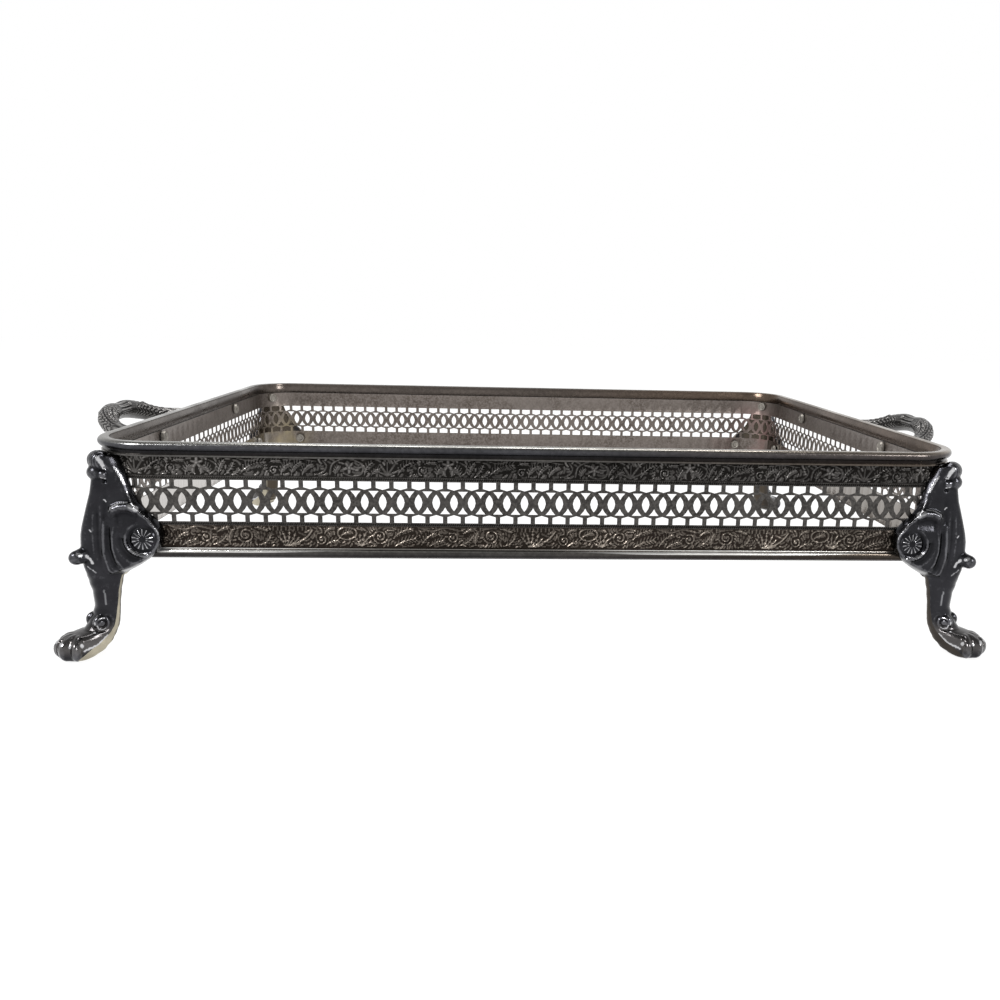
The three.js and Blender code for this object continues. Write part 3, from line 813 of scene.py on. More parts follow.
def leg_body():
    """The leg and the paw under it."""
    low, high = LEG_LEVELS[0][0], LEG_LEVELS[-1][0]

    def place(around, up):
        height = low + (high - low) * up
        half, back, front = between(LEG_LEVELS, height)
        turn = 2 * math.pi * around
        across, ahead = math.sin(turn), math.cos(turn)
        middle = back + (front - back) * LEG_MIDDLE
        reach, roundness = (front - middle, LEG_FRONT) if ahead > 0 else (middle - back, LEG_BACK)
        bulge = math.copysign(reach * abs(ahead) ** roundness, ahead)
        return Vector((CORNER_RADIUS + middle + bulge, half * across, height))

    bm = sheet(64, 90, place)
    close_ends(bm)
    return bm


# The rosette's place on the shield: in from the end wall, up from the wall's bottom edge
ROSETTE_INSET, ROSETTE_RISE = 20.0, 9.2


def face_place(side, inwards, rise, lift=0.0):
    """A point of the shield's face, from the rosette's middle: inwards is towards the spine."""
    height = WALL_BOTTOM + ROSETTE_RISE + rise
    away = Vector((math.cos(QUARTER / 2), side * math.sin(QUARTER / 2), 0))
    across = Vector((-math.sin(QUARTER / 2), side * math.cos(QUARTER / 2), 0))
    aside = across * (ROSETTE_INSET - CORNER_RADIUS - inwards)
    return away * (CORNER_RADIUS + face_depth(height) + lift) + aside + Vector((0, 0, height))


def face_arc(side, radius, start, end, lift=0.0, steps=24):
    """An arc on the shield's face round the rosette; 0 degrees is straight towards the spine."""
    angles = [math.radians(start + (end - start) * step / steps) for step in range(steps + 1)]
    return [face_place(side, radius * math.cos(a), radius * math.sin(a), lift) for a in angles]


def rosette_frame(side):
    """Matrix that stands the rosette on its face: its own Z leads straight out."""
    height = WALL_BOTTOM + ROSETTE_RISE
    place = on_foot(face_depth(height), ROSETTE_INSET - CORNER_RADIUS, height, side)
    turn = Matrix.Rotation(side * QUARTER / 2, 4, "Z")
    return turn @ Matrix.Translation(place) @ Matrix.Rotation(QUARTER, 4, "Y")


# The casting's smaller forms, placed out from the corner's centre, aside and up, with their radii
HEAD, HEAD_RADII = (7.8, 0, 77.4), (3.6, 4.2, 3.4)
EYE, EYE_RADII = (6.8, 3.9, 76.8), (1.9, 1.9, 1.9)
ANKLE, ANKLE_RADII = (12.8, 3.5, 14.2), (3.2, 2.2, 3.2)
SPUR = [((10, 0, 45), 4.2), ((15, 0, 43.6), 3.5), ((18.3, 0, 42.9), 3.1)]
SPUR_TIP_RADII = (3.2, 3.1, 3.1)
# The ribbed roll on top: its place, its radius and the depth of its ribs, half its length, and the half
# length at which its rounded ends would close
ROLL, ROLL_RADIUS, ROLL_RIB, ROLL_HALF, ROLL_ROUNDING = (6.2, 0, 82.2), 4.1, 0.35, 3.9, 4.6
# The paw: its middle, the toes' distance from it and height, their directions, the radii of toe and knuckle
PAW_MIDDLE, PAW_TOP = 20.2, 9
TOE_REACH, TOE_HEIGHT = 6.0, 4.9
TOES = (-1.0, -0.34, 0.34, 1.0)
TOE_RADII, KNUCKLE_RADII = (4.0, 2.3, 4.6), (4.6, 2.6, 2.9)


def on_foot(ahead, aside, height, side=1):
    """A point of the foot by its way out from the corner's centre, aside and up."""
    return Vector((CORNER_RADIUS + ahead, side * aside, height))


def foot_solids():
    """The overlapping solids of the casting."""
    bm = shield_body()
    add_mesh(bm, leg_body())
    ribs = []
    for step in range(29):
        radius, height = ROLL_RADIUS + ROLL_RIB * math.cos(step * 1.65), ROLL_HALF * (step / 14 - 1)
        ribs.append((radius * math.sqrt(max(0.05, 1 - (height / ROLL_ROUNDING)**4)), height))
    roll = wheel([(0, -ROLL_HALF), *ribs, (0, ROLL_HALF)], 32)
    add_mesh(bm, roll, Matrix.Translation(on_foot(*ROLL)) @ Matrix.Rotation(QUARTER, 4, "X"))
    add_ball(bm, on_foot(*HEAD), HEAD_RADII)
    for side in (-1, 1):
        add_ball(bm, on_foot(*EYE, side), EYE_RADII)
        add_ball(bm, on_foot(*ANKLE, side), ANKLE_RADII)
    add_mesh(bm, strokes([[(on_foot(*place), radius) for place, radius in SPUR]]))
    add_ball(bm, on_foot(*SPUR[-1][0]), SPUR_TIP_RADII)
    for turn in TOES:
        across, ahead = math.sin(turn), math.cos(turn)
        toe = on_foot(PAW_MIDDLE + TOE_REACH * ahead, TOE_REACH * across, TOE_HEIGHT)
        knuckle = toe + Vector((-3.4 * ahead, -2.4 * across, 2.9))
        for middle, radii in ((toe, TOE_RADII), (knuckle, KNUCKLE_RADII)):
            add_ball(bm, middle, radii, Matrix.Rotation(turn, 4, "Z"))
    return bm


# Ridges and hollows of the face, as (width, height, places inwards of and above the rosette)
FACE_LINES = [
    (2.9, 1.4, (13.1, 11.0), (9.2, 12.8), (5.8, 13.0), (2.0, 11.6)),
    (4.2, -0.6, (11.6, 8.6), (8.3, 9.2), (4.2, 9.2), (1.0, 8.8)),
    (0.8, 0.3, (11.2, 6.0), (12.0, 1.0), (12.0, -4.0), (10.8, -9.0), (8.4, -13.0)),
    (1.7, -0.7, (13.8, 8.0), (14.0, 2.0), (14.0, -4.0), (12.8, -10.0), (10.4, -14.6)),
    (0.8, 0.36, (15.4, 8.0), (15.6, 1.0), (15.8, -6.2), (14.4, -13.2), (12.0, -16.6)),
    (1.4, -0.4, (18.0, 14.0), (17.8, 4.0), (17.8, -4.0), (17.0, -12.0)),
    (0.8, 0.2, (19.6, 12.0), (19.8, 2.0), (19.6, -8.0)),
]
# Painted highlights on edges and spots of the face, as (width, brightness, places inwards of and above the
# rosette)
FACE_PAINTED_HIGHLIGHTS = [
    (0.3, 0.7, (10.9, 30.0), (9.2, 26.7), (7.3, 22.8)), (0.3, 0.5, (9.8, 29.6), (8.0, 26.2), (6.4, 22.8)),
    (0.35, 0.5, (5.8, 19.5), (4.8, 16.6), (1.1, 12.2), (-2.9, 8.6)),
    (0.35, 0.6, (-2.9, 8.6), (-5.3, 5.4), (-6.9, 2.1)), (0.4, 0.7, (13.1, 11.6), (9.2, 14.2), (6.0, 14.8)),
    (1.7, 0.7, (4.4, 13.0), (2.6, 12.6)), (0.6, 0.9, (5.2, -4.0), (3.4, -5.8), (0.8, -6.6), (-1.8, -6.4)),
    (0.35, 0.9, (15.4, 16.0), (14.8, 15.4)), (0.35, 0.9, (20.8, 3.8), (20.4, 3.0)),
]
# Painted highlights on edges and spots beside the head, the spur, the leg and the paw, as (width, brightness,
# places)
SIDE_PAINTED_HIGHLIGHTS = [
    (0.9, 0.9, (8.4, 4.0, 84.0), (7.1, 4.1, 81.9), (5.9, 4.1, 79.6)),
    (0.5, 0.7, (8.4, 5.0, 75.4), (6.8, 5.6, 75.0)),
    (0.6, 0.8, (15.8, 4.0, 44.0), (14.6, 4.6, 40.2)), (0.8, 0.9, (18.6, 2.0, 44.6), (17.6, 2.2, 44.2)),
    (0.3, 0.4, (17.8, 3.0, 39.0), (14.1, 5.0, 36.4)), (0.35, 0.25, (11.5, 5.8, 28.0), (11.1, 5.8, 22.0)),
    (0.5, 0.8, (21.4, 6.6, 4.8), (15.9, 7.2, 6.2), (11.8, 6.4, 9.0)),
    (1.1, 0.9, (28.2, 2.2, 8.2), (28.0, 2.4, 7.8)),
    (0.9, 0.8, (25.2, 4.2, 7.0), (25.0, 4.4, 6.8)), (1.0, 0.8, (23.2, 5.4, 7.2), (22.8, 5.6, 7.0)),
]
# Painted highlights beside the scroll at the ankle, as (width, brightness, radius, first angle, last angle)
ANKLE_PAINTED_HIGHLIGHTS = [(0.3, 0.8, 2.5, -120, -20), (0.35, 0.9, 4.2, -60, 15), (0.3, 0.6, 2.4, 60, 120)]
# Grooves between the toes: their directions, and their places as (reach, height)
TOE_GAPS = (-0.67, 0, 0.67)
TOE_GROOVE = [(3, 12.5), (6.5, 10.5), (8.8, 7.5), (9.8, 4), (9.4, 0.5)]


def foot_relief():
    """Where the casting's skin is raised or sunk: scroll bands, hollows, toes and the ankle's scroll."""
    rows = []
    for side in (-1, 1):
        for width, height, *spots in FACE_LINES:
            rows.append(([face_place(side, *spot) for spot in spots], width, height))
        rows.append((face_arc(side, 9.2, 15, -90), 2.2, -0.9))
        rows.append((face_arc(side, 5.6, 90, 450), 1.5, -0.8))
        rows.append((face_arc(side, 7.0, 20, -200), 0.8, 0.7))
        edge = [corner_place(side * (between(SHIELD_LEVELS, height)[0] - 1.3), face_depth(height), height)
                for height in range(43, 80, 2)]
        rows.append((edge, 0.9, 0.45))
        rows.append(([corner_place(side * 4.5, 9, height) for height in (74, 70, 66, 62, 58)], 2.4, -0.7))
        eye = [on_foot(EYE[0] + 2.7 * math.cos(angle), 4.9, EYE[2] + 2.7 * math.sin(angle), side)
               for angle in (step * 0.42 for step in range(16))]
        rows.append((eye, 1.0, -0.8))
        rows.append((ankle_arc(side, 1.7, 0, 330), 0.7, -0.6))
        rows.append((ankle_arc(side, 3.4, 100, 320), 0.8, -0.5))
    for turn in TOE_GAPS:
        rows.append(([on_foot(PAW_MIDDLE + reach * math.cos(turn), reach * math.sin(turn), height)
                      for reach, height in TOE_GROOVE], 1.1, -0.9))
    return rows


def ankle_arc(side, radius, start, end):
    """An arc round the scroll beside the ankle."""
    angles = [math.radians(start + (end - start) * step / 16) for step in range(17)]
    return [on_foot(13.0 + radius * math.cos(angle), 5.7, ANKLE[2] + radius * math.sin(angle), side)
            for angle in angles]


def painted_highlight_rows():
    """Where highlights are painted on the plate, as (points, width, brightness)."""
    rows = []
    for side in (-1, 1):
        for width, share, *spots in FACE_PAINTED_HIGHLIGHTS:
            rows.append(([face_place(side, *spot) for spot in spots], width, share))
        for width, share, *spots in SIDE_PAINTED_HIGHLIGHTS:
            rows.append(([on_foot(*spot, side) for spot in spots], width, share))
        for width, share, *arc in ANKLE_PAINTED_HIGHLIGHTS:
            rows.append((ankle_arc(side, *arc), width, share))
    return rows


def rosette(sides=14):
    """A flower of rays in a shallow dish, with a button in its middle."""
    bm = wheel([(0, -1.6), (4.6, -1.6), (4.6, -0.6), (4.3, -0.5), (3.4, -0.45), (2.4, -0.45), (1.5, -0.5),
                (1.1, -0.5), (0.8, 0.0), (0, 0.1)], sides * 8)
    for vert in bm.verts:
        vert.co.z += 0.45 * ray(vert.co, sides)
    return bm


def ray(place, sides=14):
    """How far a point of the rosette's own frame is on one of its rays, from 0 to 1."""
    radius = math.hypot(place.x, place.y)
    if not 1.3 < radius < 4.4 or place.z < -1:
        return 0
    return max(0, math.cos(sides * math.atan2(place.y, place.x)))


# Where the plate is gone at the back of the leg and the heel: height, how far out the yellow metal reaches.
# Both are read on the foot's middle plane; a point beside it is brought there by two shares of its way aside
BARE_LEVELS = [(0.0, 21.5), (0.9, 19.8), (3.2, 16.2), (4.9, 12.6), (6.8, 10.2), (8.8, 7.8), (11.4, 6.0),
               (15.2, 5.0), (20.0, 4.0), (26.7, 3.2), (34.0, 1.0)]
ASIDE_REACH, ASIDE_LIFT = 0.37, 0.2


def mark_bare_and_painted_highlights(bm):
    """Stores where the plate is worn off, and painted highlights on bright edges and spots and on the
    rosettes' rays.
    """
    layer = bm.verts.layers.float.new("bare")
    raised = bm.verts.layers.float["raised"]
    frames = [rosette_frame(side).inverted() for side in (-1, 1)]
    for vert in bm.verts:
        if vert.co.z < 0.8:
            vert[raised] = 0.3
        edge = between(BARE_LEVELS, vert.co.z - ASIDE_LIFT * abs(vert.co.y))[0]
        out = vert.co.x - CORNER_RADIUS - ASIDE_REACH * abs(vert.co.y)
        vert[layer] = min(1, max(0, 0.5 + (edge - out) / 1.2)) if vert.co.z < BARE_LEVELS[-1][0] else 0
        # Painted highlights on the rosettes' rays
        for back in frames:
            local = back @ vert.co
            if abs(local.z) < 2.5 and math.hypot(local.x, local.y) < 4.7:
                vert[raised] = 0.3 + 1.3 * ray(local) ** 1.5
    surface = kdtree.KDTree(len(bm.verts))
    bm.verts.ensure_lookup_table()
    for vert in bm.verts:
        surface.insert(vert.co, vert.index)
    surface.balance()
    # Painted highlights along the bright edges and spots of the tables above
    for points, width, share in painted_highlight_rows():
        for place, *_ in net([(points, width, 0)])[1]:
            for _, index, distance in surface.find_range(surface.find(place)[0], width):
                vert = bm.verts[index]
                vert[raised] = max(vert[raised], 1 + share * (1 - (distance / width)**2))


def add_feet(material):
    """The four castings: one form, turned to each corner."""
    whole = cast(foot_solids(), voxel=0.38, rounds=2)
    carve(whole, foot_relief())
    soften(whole, whole.verts, 0.4)
    soften(whole, [vert for vert in whole.verts if vert.co.z < PAW_TOP], 0.5)
    for vert in whole.verts:
        vert.co.z = max(vert.co.z, 0)
    for side in (-1, 1):
        add_mesh(whole, rosette(), rosette_frame(side))
    mark_raised(whole, rounds=3, gain=5)
    mark_bare_and_painted_highlights(whole)
    places = []
    for corner, (sx, sy, turn) in CORNERS.items():
        middle = Matrix.Translation((sx * STRAIGHTS[0] / 2, sy * STRAIGHTS[1] / 2, 0))
        places.append((f"paw_foot_{corner}", f"foot_{corner}", middle @ Matrix.Rotation(turn, 4, "Z")))
    add_copies(whole, material, places)


# --- the handles

# Radii of the pad at each root and of the bar; the pad's profile, from its foot in the wall
PAD_RADIUS, BAR_RADIUS = 4.6, 5.0
PAD_PROFILE = [(0, -0.3), (PAD_RADIUS, -0.3), (PAD_RADIUS - 0.2, 0.6), (PAD_RADIUS - 1.4, 1.3), (0, 1.5)]
HANDLE_SPAN = handle_high.y - PAD_RADIUS
HANDLE_REACH = handle_high.x - HALF_LENGTH - BAR_RADIUS
ROOT_HEIGHT = handle_low.z + PAD_RADIUS
# The bar from its root to its middle: out and along as shares of reach and span, rise, radius
HANDLE_ROUTE = [
    (0.0, 1.0, 0.0, 3.4), (0.1, 0.98, -0.1, 3.6), (0.38, 0.78, -0.6, 4.0), (0.74, 0.54, 0.6, 4.4),
    (0.92, 0.36, 4.0, 5.0), (0.99, 0.17, 6.3, 5.2), (1.0, 0.0, 6.4, 4.6),
]


def handle_line():
    """The bar's middle line with its radius, from the back root round to the front root, finely stepped."""
    half = [(Vector((HALF_LENGTH + out * HANDLE_REACH, along * HANDLE_SPAN, ROOT_HEIGHT + rise)), radius)
            for out, along, rise, radius in HANDLE_ROUTE]
    rows = half + [(Vector((place.x, -place.y, place.z)), radius) for place, radius in reversed(half[:-1])]
    line = []
    for index in range(len(rows) - 1):
        quad = [rows[max(index - 1, 0)], rows[index], rows[index + 1], rows[min(index + 2, len(rows) - 1)]]
        for step in range(10):
            t = step / 10
            weights = (-t + 2 * t**2 - t**3, 2 - 5 * t**2 + 3 * t**3, t + 4 * t**2 - 3 * t**3, -t**2 + t**3)
            place = sum((row[0] * weight for row, weight in zip(quad, weights)), Vector()) / 2
            line.append((place, sum(row[1] * weight for row, weight in zip(quad, weights)) / 2))
    return line + [rows[-1]]


def bar_place(line, share, angle, lift=0.0):
    """A point of the bar's skin: share runs along it, the angle round it, 90 degrees on top, 0 outwards."""
    at = min(max(share, 0), 1) * (len(line) - 1)
    index = min(int(at), len(line) - 2)
    place = line[index][0].lerp(line[index + 1][0], at - index)
    radius = line[index][1] + (line[index + 1][1] - line[index][1]) * (at - index)
    ahead = (line[index + 1][0] - line[max(index - 1, 0)][0]).normalized()
    aside = ahead.cross(Vector((0, 0, 1))).normalized()
    up = aside.cross(ahead)
    if aside.x < 0 and abs(aside.x) > 0.3:
        aside = -aside
    turn = math.radians(angle)
    return place + (aside * math.cos(turn) + up * math.sin(turn)) * (radius + lift)


# Leaf tips that stand out of the bar: share of its length, angle round it, radius; how deep their middles lie
# and how flat they are
LEAF_TIPS = [(0.33, 96, 2.5), (0.335, 60, 2.1), (0.34, 130, 2.1), (0.24, 20, 2.0), (0.27, 150, 1.9),
             (0.44, 50, 2.2), (0.44, 130, 2.2), (0.385, 20, 2.1), (0.385, 160, 2.0), (0.47, 90, 2.0)]
TIP_SUNK, TIP_FLATNESS = 1.6, 0.8


def handle_solids(line):
    """The bar, its pads and the leaves that swell over its bends."""
    bm = strokes([line[::3]], 7)
    for end in (1, -1):
        root = Vector((HALF_LENGTH, end * HANDLE_SPAN, ROOT_HEIGHT))
        add_mesh(bm, wheel(PAD_PROFILE, 36), Matrix.Translation(root) @ Matrix.Rotation(QUARTER, 4, "Y"))
        for share, angle, size in LEAF_TIPS:
            share = share if end > 0 else 1 - share
            add_ball(bm, bar_place(line, share, angle, -TIP_SUNK), (size, size, size * TIP_FLATNESS))
    return bm


# Angles round the bar of the flutes near its roots, of the leaves' midribs and of the gaps between leaves
FLUTES, MIDRIBS, LEAF_GAPS = range(-30, 211, 30), (-8, 38, 90, 142, 188), (64, 116)
FLUTE_BEND = 0.25


def handle_relief(line):
    """Flutes along the bar near its roots, and veined leaves over its bends."""
    rows = []
    for end in (0, 1):
        def spot(share, angle, lift=0.0):
            return bar_place(line, share if not end else 1 - share, angle, lift)
        for angle in FLUTES:
            bend = (angle - 90) * FLUTE_BEND
            flute = [spot(0.05 + 0.023 * step, angle + bend * step / 8) for step in range(9)]
            rows.append((flute, 1.0, -0.75))
        for angle in MIDRIBS:
            rows.append(([spot(0.235 + 0.02 * step, angle, 0.2) for step in range(9)], 0.6, 0.35))
            for step in range(8):
                start = 0.24 + 0.02 * step
                for side in (-1, 1):
                    rows.append(([spot(start, angle, 0.2), spot(start + 0.012, angle + side * 12, 0.2),
                                  spot(start + 0.018, angle + side * 22, 0.1)], 0.55, -0.42))
        for angle in LEAF_GAPS:
            rows.append(([spot(0.23 + 0.022 * step, angle) for step in range(8)], 0.8, -0.6))
    for number in range(7):
        angle = -10 + 33 * number
        rows.append(([bar_place(line, 0.44 + 0.012 * step, angle) for step in range(11)], 0.7, -0.5))
    return rows


def add_handles(material):
    """The two leafy handles."""
    line = handle_line()
    whole = cast(handle_solids(line), voxel=0.4, rounds=2)
    carve(whole, handle_relief(line))
    soften(whole, whole.verts, 0.3)
    mark_raised(whole)
    places = [(f"leafy_handle_{end}", f"handle_{end}", Matrix.Rotation(turn, 4, "Z"))
              for end, turn in (("right", 0), ("left", math.pi))]
    add_copies(whole, material, places)


# --- finishes


def feed(tree, made, values):
    """Feeds a node's sockets with plain values or other nodes' outputs; a colour may be given by three."""
    for socket, value in dict(values).items():
        if isinstance(value, bpy.types.NodeSocket):
            tree.links.new(value, made.inputs[socket])
        elif made.inputs[socket].type == "RGBA":
            made.inputs[socket].default_value = (*value[:3], 1)
        else:
            made.inputs[socket].default_value = value
    return made


def node(tree, kind, values=(), **settings):
    """Adds a node, sets it up and feeds it."""
    made = tree.nodes.new(kind)
    for name, value in settings.items():
        setattr(made, name, value)
    return feed(tree, made, values)


def group(name, inputs, outputs):
    """An empty shader node group with named sockets; gives its tree, its inputs and its output node."""
    tree = bpy.data.node_groups.new(name, "ShaderNodeTree")
    for way, sockets in (("INPUT", inputs), ("OUTPUT", outputs)):
        for socket, kind in sockets.items():
            tree.interface.new_socket(socket, in_out=way, socket_type=f"NodeSocket{kind}")
    return tree, tree.nodes.new("NodeGroupInput").outputs, tree.nodes.new("NodeGroupOutput")


def put(tree, shared, **values):
    """Places a shared group in a material; gives its outputs."""
    made = node(tree, "ShaderNodeGroup", node_tree=shared)
    return feed(tree, made, {socket.replace("_", " "): value for socket, value in values.items()}).outputs


def blend(tree, share, low, high, way="MIX"):
    """A mix of two colours."""
    return node(tree, "ShaderNodeMix", {0: share, 6: low, 7: high}, data_type="RGBA",
                blend_type=way).outputs[2]


def maths(tree, way, *values):
    """A sum on values, such as MULTIPLY."""
    return node(tree, "ShaderNodeMath", enumerate(values), operation=way).outputs[0]


def vector_maths(tree, way, *values, out="Value"):
    """A sum on directions or places, such as DOT_PRODUCT."""
    return node(tree, "ShaderNodeVectorMath", enumerate(values), operation=way).outputs[out]


def along_axis(tree, place, axis):
    """One coordinate of a place or a direction."""
    return node(tree, "ShaderNodeSeparateXYZ", {0: place}).outputs[axis]


def spread(tree, value, low, high, to_low=0.0, to_high=1.0):
    """A value mapped smoothly from one range to another."""
    return node(tree, "ShaderNodeMapRange", {0: value, 1: low, 2: high, 3: to_low, 4: to_high},
                interpolation_type="SMOOTHSTEP").outputs[0]


def noise(tree, place, scale, detail, roughness=0.5):
    """Cloudy noise from 0 to 1."""
    return node(tree, "ShaderNodeTexNoise", {"Vector": place, "Scale": scale, "Detail": detail,
                                             "Roughness": roughness}).outputs[0]


def tarnish_group():
    """Cloudy tarnish with fine specks: a mask and a shade."""
    tree, given, wanted = group("tarnish", {"Place": "Vector", "Cloud size": "Float", "Speck size": "Float"},
                                {"Clouds": "Float", "Specks": "Float"})
    clouds = noise(tree, given["Place"], given["Cloud size"], 4.0, 0.6)
    specks = noise(tree, given["Place"], given["Speck size"], 2.0, 0.7)
    feed(tree, wanted, {"Clouds": spread(tree, clouds, 0.36, 0.66),
                        "Specks": spread(tree, specks, 0.35, 0.68)})
    return tree


def wear_group():
    """Shallow dents, fine scratches and pits, as a height."""
    tree, given, wanted = group("wear", {"Place": "Vector"}, {"Height": "Float"})
    dents = noise(tree, given["Place"], 90.0, 2.0)
    pits = noise(tree, given["Place"], 1100.0, 2.0)
    turned = node(tree, "ShaderNodeMapping", {"Vector": given["Place"], "Rotation": (0.3, 0.8, 0.5),
                                              "Scale": (1.0, 14.0, 5.0)}).outputs[0]
    rough = maths(tree, "MULTIPLY_ADD", dents, 1.6, pits)
    feed(tree, wanted, {"Height": maths(tree, "MULTIPLY_ADD", noise(tree, turned, 160.0, 1.0), 0.5, rough)})
    return tree


def relief_group():
    """Light worn ridges over a dark ground, from how far a point stands out."""
    tree, given, wanted = group("relief", {"Raised": "Float", "Specks": "Float", "Ground": "Color",
                                           "Middle": "Color", "Ridge": "Color"}, {"Colour": "Color"})
    low = spread(tree, given["Raised"], 0.08, 0.55)
    high = spread(tree, maths(tree, "MULTIPLY_ADD", given["Specks"], 0.16, given["Raised"]), 0.66, 0.98)
    middle = blend(tree, low, given["Ground"], given["Middle"])
    feed(tree, wanted, {"Colour": blend(tree, high, middle, given["Ridge"])})
    return tree


tarnish, wear, relief = tarnish_group(), wear_group(), relief_group()


def metal(name):
    """A material of bare metal; gives the material, its tree, its shader and its place on the object."""
    material = bpy.data.materials.new(name)
    material.use_nodes = True
    tree = material.node_tree
    shader = tree.nodes["Principled BSDF"]
    shader.inputs["Metallic"].default_value = 1
    return material, tree, shader, tree.nodes.new("ShaderNodeTexCoord").outputs["Object"]


def finished(tree, shader, place, colour, roughness, depth):
    """Feeds a shader its colour and roughness, and gives its surface dents and pits."""
    bump = node(tree, "ShaderNodeBump", {"Height": put(tree, wear, Place=place)["Height"], "Strength": depth,
                                         "Distance": 0.0002})
    feed(tree, shader, {"Base Color": colour, "Roughness": roughness, "Normal": bump.outputs[0]})


def facing_out(tree, place):
    """The surface's direction, and how far that leads away from the middle of the frame."""
    way = node(tree, "ShaderNodeNewGeometry").outputs["Normal"]
    return way, vector_maths(tree, "DOT_PRODUCT", way, place)


# Old stains inside the two back corners: place, reach, colour
STAINS = [
    (Vector((-HALF_LENGTH + 10, HALF_WIDTH - 4, WALL_BOTTOM + 8)) * MM, 0.03, (0.26, 0.22, 0.14)),
    (Vector((HALF_LENGTH - 14, HALF_WIDTH - 4, WALL_BOTTOM + 14)) * MM, 0.034, (0.2, 0.13, 0.12)),
]
# Painted reflection on the plate inside the ends, below the piercing: at the left, at the right
PAINTED_REFLECTION_LEFT, PAINTED_REFLECTION_RIGHT = (0.48, 0.46, 0.44), (0.24, 0.22, 0.2)


def sheet_metal():
    """The pierced wall: thin plate, dark and finely speckled, with cloudy stains and a painted reflection
    inside the ends below the piercing.
    """
    material, tree, shader, place = metal("tarnished_sheet")
    spots = put(tree, tarnish, Place=place, Cloud_size=34.0, Speck_size=820.0)
    outer = blend(tree, spots["Clouds"], (0.032, 0.03, 0.028), (0.055, 0.052, 0.05))
    outer = blend(tree, spots["Specks"], outer, (0.085, 0.08, 0.075))
    inner = blend(tree, spots["Clouds"], (0.105, 0.088, 0.076), (0.17, 0.148, 0.132))
    inner = blend(tree, spots["Specks"], inner, (0.2, 0.175, 0.16))
    way, facing = facing_out(tree, place)
    inside = spread(tree, facing, -0.02, -0.05)
    colour = blend(tree, inside, outer, inner)
    for spot, reach, shade in STAINS:
        far = spread(tree, vector_maths(tree, "DISTANCE", place, spot), reach, reach * 0.3)
        stain = maths(tree, "MULTIPLY", maths(tree, "MULTIPLY", far, spots["Clouds"]), inside)
        colour = blend(tree, stain, colour, shade)
    # Painted reflection: the inside of the ends below the piercing is lightened, more at the left, and made
    # smoother
    along = along_axis(tree, way, "X")
    end = spread(tree, maths(tree, "MULTIPLY", along, along), 0.6, 0.9)
    slot_foot = BAND_MIDDLE - SLOT_TOP
    low = spread(tree, along_axis(tree, place, "Z"), (slot_foot + 0.5) * MM, (slot_foot - 0.5) * MM)
    painted_reflection = maths(tree, "MULTIPLY", maths(tree, "MULTIPLY", end, low), inside)
    bright = blend(tree, spread(tree, along_axis(tree, place, "X"), -0.05, 0.05), PAINTED_REFLECTION_LEFT, PAINTED_REFLECTION_RIGHT)
    colour = blend(tree, painted_reflection, colour, bright)
    finished(tree, shader, place, colour, spread(tree, painted_reflection, 0, 1, 0.42, 0.15), 0.3)
    return material


def chased_metal(name, ground, middle, ridge, painted_shade_right=0.0):
    """Chased or cast plate: light ridges over a dark ground, with painted shade towards the right-hand end.
    """
    material, tree, shader, place = metal(name)
    raised = node(tree, "ShaderNodeAttribute", attribute_name="raised").outputs["Fac"]
    spots = put(tree, tarnish, Place=place, Cloud_size=40.0, Speck_size=900.0)
    worn = put(tree, relief, Raised=raised, Specks=spots["Specks"], Ground=ground, Middle=middle, Ridge=ridge)
    colour = blend(tree, 0.3, worn["Colour"], spots["Clouds"], "MULTIPLY")
    # Painted shade: darkened from left of the middle towards the right-hand end
    right = spread(tree, along_axis(tree, place, "X"), -0.13, -0.02, 0, painted_shade_right)
    colour = blend(tree, right, colour, (0, 0, 0))
    finished(tree, shader, place, colour, spread(tree, raised, 0, 1, 0.5, 0.28), 0.25)
    return material


# A painted highlight along the base moulding's top edge: where it starts below the top, its width and its
# colour, and the wave that makes it strong and weak along the sides
STREAK_TOP, STREAK_WIDTH, PAINTED_HIGHLIGHT_COLOUR = 0.5 * MM, 1.3 * MM, (0.85, 0.84, 0.81)
STREAK_TURN, STREAK_START = 27.3, -2.2


def streak(tree, place, top):
    """A mask for the painted highlight under a moulding's top, which comes and goes along the sides."""
    turn = maths(tree, "MULTIPLY_ADD", along_axis(tree, place, "X"), STREAK_TURN, STREAK_START)
    strong = spread(tree, maths(tree, "COSINE", turn), -0.7, 0.8, 0.15, 1)
    edge = maths(tree, "MULTIPLY_ADD", strong, -STREAK_WIDTH, top * MM - STREAK_TOP)
    over = maths(tree, "SUBTRACT", along_axis(tree, place, "Z"), edge)
    return maths(tree, "MULTIPLY", spread(tree, over, 0, 0.5 * MM), strong)


